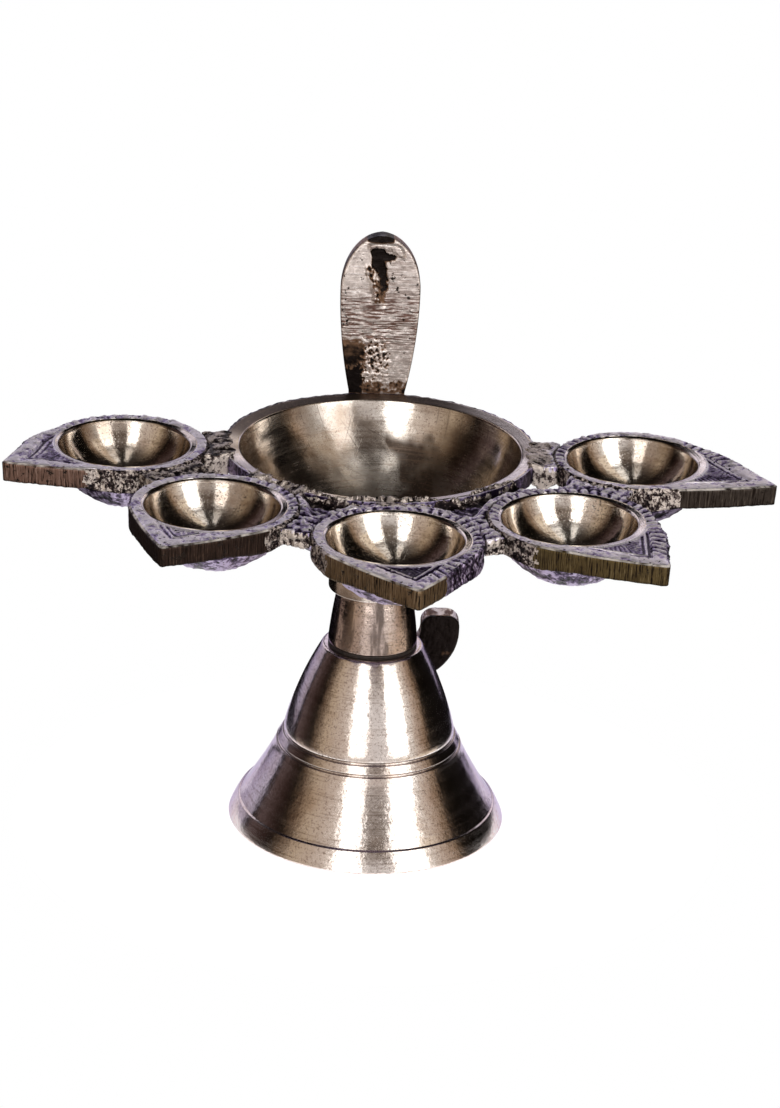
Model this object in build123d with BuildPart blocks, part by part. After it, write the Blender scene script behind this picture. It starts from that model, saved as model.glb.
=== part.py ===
from build123d import *
import os
from math import cos, radians, sin, sqrt

# Five-flame aarti lamp. A hollow turned foot carries a screwed-on neck, the neck carries a turned oil bowl,
# and five cast leaf-shaped cups fan out round the front half of the bowl. A cast serpent stands behind it:
# the hood is the thumb rest, the body is the grip and the tail curls up beside the foot.
# Millimetres and degrees. The origin is the middle of the foot's standing face, +Z is up, the front is -Y.

# Turned foot, bell shaped and hollow
foot_radius = 27.4
foot_height = 37.2
lip_height = 4.1
lip_top_radius = 25.1
lip_break = 0.4
waist_radius = 17.0
waist_height = 18.7
shoulder_step = 0.6
shoulder_bulge = 0.7
flare_hollow = 0.35
foot_wall = 2.0
crown_thickness = 9.0
groove_radius = 0.35
groove_places = (0.0, 0.14, 1.0)

# Screw joints from foot to neck and from neck to bowl, as plain cylinders of the thread's outer radius
thread_radius = 4.0
thread_clearance = 0.05
thread_grip = 6.6
thread_lead_in = 0.6
blind_gap = 0.4

# Packing washer in the seam between foot and neck
washer_thickness = 0.7
washer_inset = 0.5

# Turned neck
flange_radius = 9.2
flange_height = 0.3
neck_flare = 3.2
neck_flare_hollow = 0.16
neck_base_radius = 8.25
neck_top_radius = 7.2
neck_length = 11.3

# Turned oil bowl
bowl_rim_radius = 30.2
bowl_rim_top = 0.5
bowl_land = 2.6
bowl_land_drop = 0.5
bowl_depth = 21.0
bowl_wall = 2.2
bowl_rim_band = 3.6
boss_radius = 9.0
boss_length = 6.0

# Cast leaves with turned cups, named as the viewer in front of the lamp sees them
cup_radius = 13.5
cup_land = 0.9
cup_land_drop = 0.3
cup_depth = 10.4
cup_wall = 1.7
leaf_border = 2.3
leaf_thickness = 4.0
leaf_lift = 0.5
leaf_recess = 0.7
leaf_tip_round = 0.7
leaf_side_radius = 100.0
leaf_names = ("left_outer", "left_front", "front", "right_front", "right_outer")
leaf_bearings = (-86.1, -42.3, 2.3, 42.7, 83.6)
leaf_bowl_gaps = (2.6, 0.3, 2.3, 4.3, 2.8)
leaf_reaches = (26.0, 25.6, 27.7, 28.2, 28.6)
tip_bearings = (-62.0, -23.0, 5.5, 35.0, 66.0)

# Braze webs that tie the leaves to each other and to the bowl
web_thickness = 2.8
web_drop = 0.3
web_outward = 5.0
web_inward = (8.0, 16.0, 16.0, 8.0)
bowl_web_width = 13.0

# Cast serpent handle
hood_height = 32.4
hood_widest = 21.0
hood_half_width = 7.9
hood_foot_half_width = 5.6
hood_thickness = 3.6
body_half_width = 3.9
body_thickness = 5.0
body_step = 7.0
body_bend = 14.0
bend_drop = 13.0
bend_length = 23.0
curl_radius = 7.3
curl_drop = 48.7
tail_rise = 3.3
tail_tip_round = 2.4
handle_gap = 0.3
head_radius = 3.2
head_lift = 2.2
head_taper = 20.0
head_drop = 5.4
throat_length = 14.0
throat_half_width = 1.8
throat_lift = 1.1

# Braze bead between the serpent and the back of the bowl
bead_half_width = 4.4
bead_length = 8.5
bead_drop = 0.8

# Places worked out from these
shoulder_radius = flange_radius + shoulder_step
neck_seat = foot_height + washer_thickness
neck_top = neck_seat + neck_length
bowl_bottom = neck_top + boss_length + bowl_wall
rim_height = bowl_bottom + bowl_depth
leaf_circle = cup_radius + leaf_border
handle_front = bowl_rim_radius + handle_gap
body_front = handle_front - body_step
hood_top = rim_height + hood_height
curl_height = rim_height - curl_drop


def dish_sphere(mouth_radius, depth):
    """Radius of the sphere that a round dish of this mouth and depth is cut from."""
    return (mouth_radius**2 + depth**2) / (2 * depth)


def dish_point(centre_height, sphere_radius, radius):
    """Point on the lower half of a sphere's section, at this distance from its axis."""
    return (radius, centre_height - sqrt(sphere_radius**2 - radius**2))


os.makedirs("parts", exist_ok=True)


# Foot: the bell's outside and hollow share one side line, and the crown takes the neck's thread
def bell_side(inset):
    """The bell's shoulder and flare, moved in by inset."""
    shoulder_top = (shoulder_radius - inset, foot_height)
    waist = (waist_radius - inset, waist_height)
    shoulder = SagittaArc(shoulder_top, waist, shoulder_bulge, mode=Mode.PRIVATE)
    flare = SagittaArc(waist, (lip_top_radius - inset, lip_height), -flare_hollow, mode=Mode.PRIVATE)
    return shoulder, flare


def bell_section(inset, top):
    """Half section under the bell's side, moved in by inset and cut off at the height top."""
    shoulder, flare = bell_side(inset)
    with BuildSketch(Plane.XZ) as section:
        with BuildLine():
            add((shoulder, flare))
            Polyline(flare @ 1, (foot_radius - inset, 0), (0, 0), (0, foot_height), shoulder @ 0)
        make_face()
        with Locations((0, top)):
            Rectangle(foot_radius, foot_height, align=Align.MIN, mode=Mode.SUBTRACT)
    return section.sketch


with BuildPart() as foot:
    revolve(bell_section(0, foot_height), axis=Axis.Z)
    revolve(bell_section(foot_wall, foot_height - crown_thickness), axis=Axis.Z, mode=Mode.SUBTRACT)
    with BuildSketch(Plane.XZ):
        outer_flare = bell_side(0)[1]
        with Locations(*(outer_flare @ place for place in groove_places)):
            Circle(groove_radius)
    revolve(axis=Axis.Z, mode=Mode.SUBTRACT)
    with Locations((0, 0, foot_height)):
        Hole(thread_radius + thread_clearance, depth=crown_thickness)
    standing_edges = foot.edges().filter_by(GeomType.CIRCLE).group_by(Axis.Z)[0]
    chamfer(standing_edges.sort_by(SortBy.RADIUS)[-1], lip_break)
foot.part.label = "foot_bell"
export_step(foot.part, "parts/foot_bell.step")

# Washer: a flat ring round the thread
with BuildPart() as washer:
    with BuildSketch(Plane.XY.offset(foot_height)):
        Circle(flange_radius - washer_inset)
        Circle(thread_radius + thread_clearance, mode=Mode.SUBTRACT)
    extrude(amount=washer_thickness)
washer.part.label = "packing_washer"
export_step(washer.part, "parts/packing_washer.step")

# Neck: a flanged cone with a threaded spigot at each end
spigot_foot = foot_height - thread_grip
spigot_head = neck_top + boss_length - blind_gap
with BuildPart() as neck:
    with BuildSketch(Plane.XZ):
        with BuildLine():
            flange = Polyline(
                (0, spigot_foot),
                (thread_radius - thread_lead_in, spigot_foot),
                (thread_radius, spigot_foot + thread_lead_in),
                (thread_radius, neck_seat),
                (flange_radius, neck_seat),
                (flange_radius, neck_seat + flange_height),
            )
            cone_foot = (neck_base_radius, neck_seat + flange_height + neck_flare)
            flare = SagittaArc(flange @ 1, cone_foot, neck_flare_hollow)
            Polyline(
                flare @ 1,
                (neck_top_radius, neck_top),
                (thread_radius, neck_top),
                (thread_radius, spigot_head - thread_lead_in),
                (thread_radius - thread_lead_in, spigot_head),
                (0, spigot_head),
                (0, spigot_foot),
            )
        make_face()
    revolve(axis=Axis.Z)
neck.part.label = "neck"
export_step(neck.part, "parts/neck.step")

# Bowl: a round dish with a sloping turned land, a rim band and a blind threaded boss for the neck
bowl_mouth = bowl_rim_radius - bowl_rim_top - bowl_land
bowl_sphere = dish_sphere(bowl_mouth, bowl_depth - bowl_land_drop)
bowl_centre = bowl_bottom + bowl_sphere
bowl_back = bowl_sphere + bowl_wall
band_foot = rim_height - bowl_rim_band
back_edge = sqrt(bowl_back**2 - (bowl_centre - band_foot) ** 2)
with BuildPart() as bowl_blank:
    with BuildSketch(Plane.XZ):
        with BuildLine():
            band = Polyline(
                (0, rim_height),
                (bowl_rim_radius, rim_height),
                (bowl_rim_radius, band_foot),
                (back_edge, band_foot),
            )
            back_middle = dish_point(bowl_centre, bowl_back, (back_edge + boss_radius) / 2)
            back = ThreePointArc(band @ 1, back_middle, dish_point(bowl_centre, bowl_back, boss_radius))
            Polyline(back @ 1, (boss_radius, neck_top), (0, neck_top), band @ 0)
        make_face()
    revolve(axis=Axis.Z)

with BuildPart() as bowl:
    add(bowl_blank.part)
    with BuildSketch(Plane.XZ):
        with BuildLine():
            dish_middle = dish_point(bowl_centre, bowl_sphere, bowl_mouth / 2)
            dish = ThreePointArc((0, bowl_bottom), dish_middle, (bowl_mouth, rim_height - bowl_land_drop))
            Polyline(dish @ 1, (bowl_rim_radius - bowl_rim_top, rim_height), (0, rim_height), dish @ 0)
        make_face()
    revolve(axis=Axis.Z, mode=Mode.SUBTRACT)
    with BuildSketch(Plane.XY.offset(neck_top)):
        Circle(thread_radius + thread_clearance)
    extrude(amount=boss_length, mode=Mode.SUBTRACT)
bowl.part.label = "oil_bowl"
export_step(bowl.part, "parts/oil_bowl.step")

# Leaves: each is a pointed plate with a raised border, a recessed tip and a turned cup
leaf_rings = [bowl_rim_radius + gap + leaf_circle for gap in leaf_bowl_gaps]
cup_centres = [
    Vector(ring * sin(radians(bearing)), -ring * cos(radians(bearing)), rim_height + leaf_lift)
    for ring, bearing in zip(leaf_rings, leaf_bearings)
]
cup_mouth = cup_radius - cup_land
cup_mouth_drop = leaf_recess + cup_land_drop
cup_sphere = dish_sphere(cup_mouth, cup_depth - cup_mouth_drop)
cup_centre = cup_sphere - cup_depth
cup_back = cup_sphere + cup_wall
plate_middle = -leaf_thickness / 2
cup_root = sqrt(cup_back**2 - (cup_centre - plate_middle) ** 2)


def leaf_outline(plane, circle, reach):
    """A circle drawn out to a point, along the plane's x, by two long arcs that leave it smoothly."""
    side_radius = leaf_side_radius * circle / leaf_circle
    setback = side_radius - circle
    leaving_cosine = (side_radius**2 - setback**2 - reach**2) / (2 * reach * setback)
    along = circle * leaving_cosine
    across = circle * sqrt(1 - leaving_cosine**2)
    with BuildSketch(plane) as outline:
        with BuildLine():
            round_end = ThreePointArc((along, across), (-circle, 0), (along, -across))
            TangentArc(round_end @ 0, (reach, 0), tangent=(across, -along))
            TangentArc(round_end @ 1, (reach, 0), tangent=(across, along))
        make_face()
    return outline.sketch


for name, tip_bearing, reach, centre in zip(leaf_names, tip_bearings, leaf_reaches, cup_centres):
    tip_heading = (sin(radians(tip_bearing)), -cos(radians(tip_bearing)), 0)
    leaf_top = Plane(centre, x_dir=tip_heading, z_dir=(0, 0, 1))
    leaf_section = Plane(centre, x_dir=leaf_top.x_dir, z_dir=-leaf_top.y_dir)
    cup_axis = Axis(centre, (0, 0, 1))
    with BuildPart() as leaf:
        extrude(leaf_outline(leaf_top, leaf_circle, reach), amount=-leaf_thickness)
        tip_edge = leaf.edges().filter_by(Axis.Z).sort_by(Axis(centre, leaf_top.x_dir))[-1]
        fillet(tip_edge, leaf_tip_round)
        with BuildSketch(leaf_section):
            with BuildLine():
                outside_middle = dish_point(cup_centre, cup_back, cup_root / 2)
                outside = ThreePointArc((0, cup_centre - cup_back), outside_middle, (cup_root, plate_middle))
                Polyline(outside @ 1, (0, plate_middle), outside @ 0)
            make_face()
        revolve(axis=cup_axis)
        tip_field = leaf_outline(leaf_top, cup_radius, reach * cup_radius / leaf_circle)
        extrude(tip_field, amount=-leaf_recess, mode=Mode.SUBTRACT)
        with BuildSketch(leaf_section):
            with BuildLine():
                inside_middle = dish_point(cup_centre, cup_sphere, cup_mouth / 2)
                inside = ThreePointArc((0, -cup_depth), inside_middle, (cup_mouth, -cup_mouth_drop))
                Polyline(inside @ 1, (cup_radius, -leaf_recess), (cup_radius, 0), (0, 0), inside @ 0)
            make_face()
        revolve(axis=cup_axis, mode=Mode.SUBTRACT)
    leaf.part.label = f"leaf_cup_{name}"
    export_step(leaf.part, f"parts/leaf_cup_{name}.step")


# Webs: plates between the round edges of the leaves and the bowl, cut to those edges
def heading(run):
    """Turn about +Z from +X to the direction of run, seen from above."""
    return Vector(1, 0, 0).get_signed_angle(Vector(run.X, run.Y), Vector(0, 0, 1))


with BuildPart() as webs:
    with BuildSketch(Plane.XY.offset(rim_height - web_drop)):
        for start, end, inward in zip(cup_centres, cup_centres[1:], web_inward):
            middle = (start + end) / 2
            with Locations(Location((middle.X, middle.Y), heading(end - start))):
                with Locations((0, inward)):
                    Rectangle((end - start).length, inward + web_outward, align=(Align.CENTER, Align.MAX))
        for centre, ring in zip(cup_centres, leaf_rings):
            with Locations(Location((0, 0), heading(centre))):
                Rectangle(ring, bowl_web_width, align=(Align.MIN, Align.CENTER))
        with Locations(*((centre.X, centre.Y) for centre in cup_centres)):
            Circle(leaf_circle, mode=Mode.SUBTRACT)
        Circle(bowl_rim_radius, mode=Mode.SUBTRACT)
    extrude(amount=-web_thickness)
webs.part.label = "braze_webs"
export_step(webs.part, "parts/braze_webs.step")

# Serpent: its front outline cut to its side outline, with a head and a throat raised on the hood
hood_middle = rim_height + hood_widest
curl_inside = curl_radius - body_half_width
curl_outside = curl_radius + body_half_width
tail_top = curl_height + tail_rise
tail_bottom = curl_height - curl_outside
serpent_back = handle_front + hood_thickness
bend_start = rim_height - bend_drop
bend_end = bend_start - bend_length
with BuildPart() as serpent:
    with BuildSketch(Plane.XZ.offset(-serpent_back)) as front:
        with Locations((0, hood_middle)):
            Ellipse(hood_half_width, hood_top - hood_middle)
        with BuildLine():
            hood_side = TangentArc(
                (hood_half_width, hood_middle), (hood_foot_half_width, rim_height), tangent=(0, -1)
            )
            body_side = Line(hood_side @ 1, (body_half_width, curl_height))
            mirror(about=Plane.YZ)
            Line(hood_side @ 0, (-hood_half_width, hood_middle))
            Line(body_side @ 1, (-body_half_width, curl_height))
        make_face()
        with BuildLine():
            curl_edge = ThreePointArc(
                (-body_half_width, curl_height),
                (curl_radius, tail_bottom),
                (curl_radius + curl_outside, curl_height),
            )
            tail = Polyline(
                curl_edge @ 1,
                (curl_radius + curl_outside, tail_top),
                (curl_radius + curl_inside, tail_top),
                (curl_radius + curl_inside, curl_height),
            )
            curl_hollow = ThreePointArc(
                tail @ 1, (curl_radius, curl_height - curl_inside), (body_half_width, curl_height)
            )
            Line(curl_hollow @ 1, curl_edge @ 0)
        make_face()
        tail_corners = front.vertices().filter_by(lambda corner: abs(corner.Y - tail_top) < tail_rise / 2)
        fillet(tail_corners, tail_tip_round)
    extrude(amount=serpent_back)
    with BuildSketch(Plane.YZ):
        with BuildLine():
            front_line = FilletPolyline(
                (handle_front, hood_top),
                (handle_front, bend_start),
                (body_front, bend_end),
                (body_front, tail_bottom),
                radius=body_bend,
            )
            back_line = FilletPolyline(
                (serpent_back, hood_top),
                (serpent_back, bend_start),
                (body_front + body_thickness, bend_end),
                (body_front + body_thickness, tail_bottom),
                radius=body_bend,
            )
            Line(front_line @ 0, back_line @ 0)
            Line(front_line @ 1, back_line @ 1)
        make_face()
    extrude(amount=serpent_back, both=True, mode=Mode.INTERSECT)
    with BuildSketch(Plane.XZ.offset(-handle_front)):
        with BuildLine():
            throat_top = hood_top - head_drop
            Polyline(
                (-throat_half_width, throat_top),
                (throat_half_width, throat_top),
                (0, throat_top - throat_length),
                close=True,
            )
        make_face()
    extrude(amount=throat_lift)
    with BuildSketch(Plane.XZ.offset(-handle_front)):
        with Locations((0, hood_top - head_drop)):
            Circle(head_radius)
    extrude(amount=head_lift, taper=head_taper)
serpent.part.label = "serpent_handle"
export_step(serpent.part, "parts/serpent_handle.step")

# Bead: fills the wedge between the serpent's flat front and the back of the bowl
with BuildPart() as bead:
    with BuildSketch(Plane.XZ.offset(-handle_front)):
        with Locations((0, rim_height - bead_drop)):
            Rectangle(2 * bead_half_width, bead_length, align=(Align.CENTER, Align.MAX))
    extrude(amount=handle_front)
    add(bowl_blank.part, mode=Mode.SUBTRACT)
bead.part.label = "handle_bead"
export_step(bead.part, "parts/handle_bead.step")
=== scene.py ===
from math import acos, asin, atan2, cos, pi, radians, sin, sqrt, tau
from typing import NamedTuple

import bmesh
import bpy
from mathutils import Matrix, Vector, noise


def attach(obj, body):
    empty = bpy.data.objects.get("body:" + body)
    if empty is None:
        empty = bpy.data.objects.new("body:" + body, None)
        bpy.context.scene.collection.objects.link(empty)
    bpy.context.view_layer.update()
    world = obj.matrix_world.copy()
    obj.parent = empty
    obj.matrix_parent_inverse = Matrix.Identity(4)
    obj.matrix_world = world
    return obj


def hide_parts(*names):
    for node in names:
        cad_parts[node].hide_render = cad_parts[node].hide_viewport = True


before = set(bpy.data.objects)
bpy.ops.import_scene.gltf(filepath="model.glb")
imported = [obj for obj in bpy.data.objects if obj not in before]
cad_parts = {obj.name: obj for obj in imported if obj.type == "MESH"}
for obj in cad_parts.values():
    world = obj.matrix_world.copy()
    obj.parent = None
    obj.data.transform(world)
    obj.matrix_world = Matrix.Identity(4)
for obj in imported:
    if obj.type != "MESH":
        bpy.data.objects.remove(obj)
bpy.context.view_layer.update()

# Looks of the five-flame aarti lamp. Lengths are in millimetres, and meshes are scaled to metres at the end.
# The origin is the middle of the foot's standing face, +Z is up and the front is -Y.
MILLIMETRE = 0.001

# Foot, washer, neck and bowl, as they are turned
foot_radius, foot_height = 27.4, 37.2
lip_height, lip_top_radius, lip_break = 4.1, 25.1, 0.4
waist_radius, waist_height = 17.0, 18.7
shoulder_radius, shoulder_bulge, flare_hollow = 9.8, 0.7, 0.35
foot_wall, crown_thickness = 2.0, 9.0
groove_depth, groove_half_width, groove_margin = 0.40, 0.34, 0.8
lip_step, lip_bulge = 0.42, 0.10
second_groove_place = 0.14
thread_radius, thread_hole_radius, thread_grip = 4.0, 4.05, 6.6
thread_pitch, thread_depth, thread_turns, thread_start = 1.25, 0.45, 4.4, 0.5
washer_radius, washer_thickness = 8.7, 0.7
neck_base_radius, neck_top_radius, neck_length = 8.7, 7.3, 11.3
neck_hollow, neck_end, spigot_gap = 0.12, 0.6, 0.4
bowl_rim_radius, bowl_rim_top, bowl_land, bowl_land_drop = 30.2, 0.5, 2.6, 0.5
bowl_depth, bowl_wall, bowl_rim_band = 21.0, 2.2, 3.6
bowl_dents, cast_skin, cast_lumps = 0.14, 0.10, 0.18
boss_radius, boss_length = 9.0, 6.0
foot_steps, washer_steps, neck_steps, bowl_steps = 224, 160, 192, 288

# Leaves and their cups
cup_radius, cup_land, cup_land_drop = 13.5, 0.9, 0.3
cup_depth, cup_wall = 10.4, 1.7
leaf_circle, leaf_side_radius = 15.8, 100.0
leaf_thickness, leaf_lift, leaf_tip_round = 4.0, 0.5, 0.7
lip_drop, field_drop, border_drop, chamfer_drop = 0.12, 0.40, 0.06, 0.34
round_border, tip_border = 2.3, 3.4
field_wall_run, edge_chamfer, edge_draft = 0.3, 0.45, 0.15

# Serpent handle
hood_top, hood_middle, hood_half_width, hood_foot_half_width = 110.8, 99.4, 7.9, 5.6
hood_thickness, body_thickness, body_half_width = 3.6, 5.0, 3.9
handle_front, body_front = 30.5, 23.5
bend_start, bend_end, bend_ease = 65.4, 42.4, 3.0
curl_radius, curl_height, tail_top, tail_tip_round = 7.3, 29.7, 33.0, 2.4
serpent_corner = 0.55

# Heights worked out from these
neck_seat = foot_height + washer_thickness
neck_top = neck_seat + neck_length
boss_top = neck_top + boss_length
bowl_bottom = boss_top + bowl_wall
rim_height = bowl_bottom + bowl_depth
bowl_turned_edge = bowl_rim_radius - bowl_rim_top


# Shader nodes
def feed(tree, socket, value):
    """Links a value to an input socket, or sets it there if it is a plain value."""
    if isinstance(value, bpy.types.NodeSocket):
        tree.links.new(value, socket)
    else:
        socket.default_value = value


def place(tree, kind, inputs=None, **settings):
    """Adds a shader node with its settings and inputs."""
    node = tree.nodes.new("ShaderNode" + kind)
    for name, value in settings.items():
        setattr(node, name, value)
    for key, value in (inputs or {}).items():
        feed(tree, node.inputs[key], value)
    return node


def work(tree, operation, first, second, third=0.5):
    """A Math node's result."""
    return place(tree, "Math", {0: first, 1: second, 2: third}, operation=operation).outputs[0]


def ease_range(tree, value, low, high, start=0.0, end=1.0):
    """A value eased from start to end while the given one goes from low to high."""
    inputs = {"Value": value, "From Min": low, "From Max": high, "To Min": start, "To Max": end}
    return place(tree, "MapRange", inputs, interpolation_type="SMOOTHSTEP").outputs["Result"]


def tint(tree, factor, first, second):
    """Two colours mixed by a factor."""
    return place(tree, "Mix", {0: factor, 6: first, 7: second}, data_type="RGBA").outputs[2]


def painted(tree, base, *coats):
    """A colour under coats of other colours. A coat is its mask, the most that it covers and its colour."""
    for mask, most, tone in coats:
        base = tint(tree, work(tree, "MULTIPLY", mask, most), base, tone)
    return base


def stretch(tree, vector, scale):
    """A vector scaled along its three axes."""
    return place(tree, "VectorMath", {0: vector, 1: scale}, operation="MULTIPLY").outputs[0]


def speckle(tree, vector, scale, detail=2.0, roughness=0.5):
    """A noise value, with about this many lumps in a metre or in a unit of a stretched vector."""
    inputs = {"Vector": vector, "Scale": scale, "Detail": detail, "Roughness": roughness}
    return place(tree, "TexNoise", inputs).outputs["Fac"]


def marked(tree, name, output="Fac"):
    """The value of one of the mesh's own attributes."""
    return place(tree, "Attribute", attribute_name=name).outputs[output]


def object_place(tree):
    """The place in the object's own frame, in metres."""
    return place(tree, "TexCoord").outputs["Object"]


def colour(red, green, blue):
    return (red, green, blue, 1.0)


def new_group(name, inputs, outputs):
    """An empty node group with its inner input and output nodes. An input without a start is a vector."""
    group = bpy.data.node_groups.new(name, "ShaderNodeTree")
    for label, start in inputs.items():
        kind = "NodeSocketVector" if start is None else "NodeSocketFloat"
        socket = group.interface.new_socket(label, in_out="INPUT", socket_type=kind)
        if start is not None:
            socket.default_value = start
    for label in outputs:
        group.interface.new_socket(label, in_out="OUTPUT", socket_type="NodeSocketFloat")
    return group, group.nodes.new("NodeGroupInput"), group.nodes.new("NodeGroupOutput")


def give(group, result, values):
    """Links a group's values to its outputs."""
    for label, value in values.items():
        group.links.new(value, result.inputs[label])
    return group


def lathe_lines_group():
    """Fine rings left by the turning tool, as a height and a streak value, from the attribute turning."""
    group, given, result = new_group("lathe_lines", {"Lines per mm": 3.0}, ("Height", "Streak"))
    apart = place(group, "SeparateXYZ", {0: marked(group, "turning", "Vector")})
    along = work(group, "MULTIPLY", apart.outputs[2], given.outputs["Lines per mm"])
    fine = place(group, "CombineXYZ", {0: apart.outputs[0], 1: apart.outputs[1], 2: along}).outputs[0]
    rings = speckle(group, stretch(group, fine, (1.1, 1.1, 1.0)), 1.0, 3.0, 0.65)
    hairlines = speckle(group, stretch(group, fine, (6.0, 6.0, 1.9)), 1.0, 2.0, 0.6)
    waves = speckle(group, stretch(group, fine, (0.6, 0.6, 0.3)), 1.0, 1.0)
    height = work(group, "MULTIPLY_ADD", hairlines, 0.5, rings)
    height = work(group, "MULTIPLY_ADD", waves, 0.8, height)
    dark_rings = ease_range(group, rings, 0.5, 0.36)
    streak = work(group, "MULTIPLY", dark_rings, ease_range(group, hairlines, 0.4, 0.6))
    return give(group, result, {"Height": height, "Streak": streak})


def pits_group():
    """Small dark pits and specks, as a mask."""
    group, given, result = new_group("pits", {"Scale": 900.0, "Amount": 0.3}, ("Mask",))
    where = object_place(group)
    grain = speckle(group, where, given.outputs["Scale"], 3.0, 0.7)
    patch = speckle(group, where, 140.0, 2.0)
    level = work(group, "MULTIPLY_ADD", patch, 0.35, grain)
    low = work(group, "MULTIPLY_ADD", given.outputs["Amount"], -0.35, 0.86)
    mask = ease_range(group, level, low, work(group, "ADD", low, 0.09))
    return give(group, result, {"Mask": mask})


def pinholes_group():
    """Round pits of a casting, as a mask. Amount is the share of the places that have one."""
    group, given, result = new_group("pinholes", {"Scale": 900.0, "Amount": 0.3}, ("Mask",))
    inputs = {"Vector": object_place(group), "Scale": given.outputs["Scale"], "Randomness": 1.0}
    cells = place(group, "TexVoronoi", inputs)
    chance = place(group, "SeparateColor", {0: cells.outputs["Color"]})
    size = work(group, "MULTIPLY_ADD", chance.outputs[1], 0.22, 0.16)
    hole = ease_range(group, cells.outputs["Distance"], size, work(group, "SUBTRACT", size, 0.14))
    there = work(group, "LESS_THAN", chance.outputs[0], given.outputs["Amount"])
    return give(group, result, {"Mask": work(group, "MULTIPLY", hole, there)})


def strokes_group():
    """Parallel file strokes, as a height, a dark-line mask and a bright-line mask."""
    inputs = {"Vector": None, "Level": 0.49}
    group, given, result = new_group("file_strokes", inputs, ("Height", "Line", "Bright"))
    strokes = speckle(group, given.outputs["Vector"], 1.0, 3.0, 0.62)
    dark = work(group, "SUBTRACT", given.outputs["Level"], 0.11)
    line = ease_range(group, strokes, given.outputs["Level"], dark)
    bright = ease_range(group, strokes, 0.56, 0.68)
    return give(group, result, {"Height": strokes, "Line": line, "Bright": bright})


def scratches_group():
    """Fine straight scratches in three directions, as a mask."""
    group, given, result = new_group("scratches", {"Amount": 0.3}, ("Mask",))
    where = object_place(group)
    mask = 0.0
    for turn in (0.45, -0.95, 1.8):
        turned_way = place(group, "VectorRotate", {"Vector": where, "Angle": turn}, rotation_type="Z_AXIS")
        lines = speckle(group, stretch(group, turned_way.outputs[0], (2600.0, 55.0, 90.0)), 1.0, 2.0)
        mask = work(group, "MAXIMUM", mask, ease_range(group, lines, 0.64, 0.72))
    return give(group, result, {"Mask": work(group, "MULTIPLY", mask, given.outputs["Amount"])})


lathe_lines = lathe_lines_group()
scratches = scratches_group()
pits = pits_group()
pinholes = pinholes_group()
file_strokes = strokes_group()


def use(tree, group, inputs):
    """A group placed in a material."""
    return place(tree, "Group", inputs, node_tree=group)


def new_material(name):
    """A material with its tree, its Principled shader and no other settings."""
    material = bpy.data.materials.new(name)
    material.use_nodes = True
    tree = material.node_tree
    return material, tree, tree.nodes["Principled BSDF"]


def finish_metal(tree, shader, base, roughness, height, depth, metallic=1.0):
    """Gives a shader its colour, roughness and relief. Depth is the relief's height in millimetres."""
    bump = place(tree, "Bump", {"Height": height, "Strength": 1.0, "Distance": depth * MILLIMETRE})
    normal = bump.outputs["Normal"]
    looks = {"Base Color": base, "Roughness": roughness, "Metallic": metallic, "Normal": normal}
    for name, value in looks.items():
        feed(tree, shader.inputs[name], value)


# Tones of clean metal, of what covers it, and of painted shade and painted dark reflection
PALE_BRASS, STAINED_BRASS = colour(0.88, 0.81, 0.76), colour(0.64, 0.52, 0.44)
OILED_BRASS, BURNT_BRASS = colour(0.86, 0.80, 0.73), colour(0.50, 0.38, 0.28)
DULL_BRASS, WORN_BRASS = colour(0.62, 0.51, 0.46), colour(0.95, 0.90, 0.84)
SOOT_AND_DARK_REFLECTION, DRIP = colour(0.075, 0.053, 0.040), colour(0.10, 0.075, 0.065)
STREAK, GRAIN = colour(0.30, 0.22, 0.16), colour(0.26, 0.19, 0.155)
SPECK, FILED_SPECK = colour(0.08, 0.06, 0.045), colour(0.03, 0.022, 0.018)
PINHOLE, GROOVE_DIRT = colour(0.012, 0.009, 0.014), colour(0.012, 0.009, 0.007)
SCRATCH = colour(0.20, 0.16, 0.13)
# Brown and black grime, which on the serpent is mostly painted shade and painted shadow
BROWN_GRIME_AND_SHADE, BLACK_GRIME_AND_SHADE = colour(0.24, 0.14, 0.085), colour(0.014, 0.010, 0.009)
# Tints of the metal's reflection at grazing angles: the lilac one paints a lilac reflection on the edges of
# the foot and neck
GRAZING_LILAC_REFLECTION, GRAZING_WHITE = colour(0.62, 0.57, 0.78), colour(1.0, 1.0, 1.0)
# Lumps per metre in what covers the metal and in leather, and depths of fine relief in millimetres
SPECK_SCALE, GRAIN_SCALE, WAVE_SCALE, STAIN_SCALE, SOOT_SCALE = 2900.0, 2300.0, 620.0, 95.0, 48.0
PINHOLE_SCALE, FILED_SPECK_SCALE, BLOTCH_SCALE, LEATHER_SCALE = 1150.0, 700.0, 230.0, 1400.0
CAST_RELIEF, LEATHER_RELIEF = 0.12, 0.12


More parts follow.
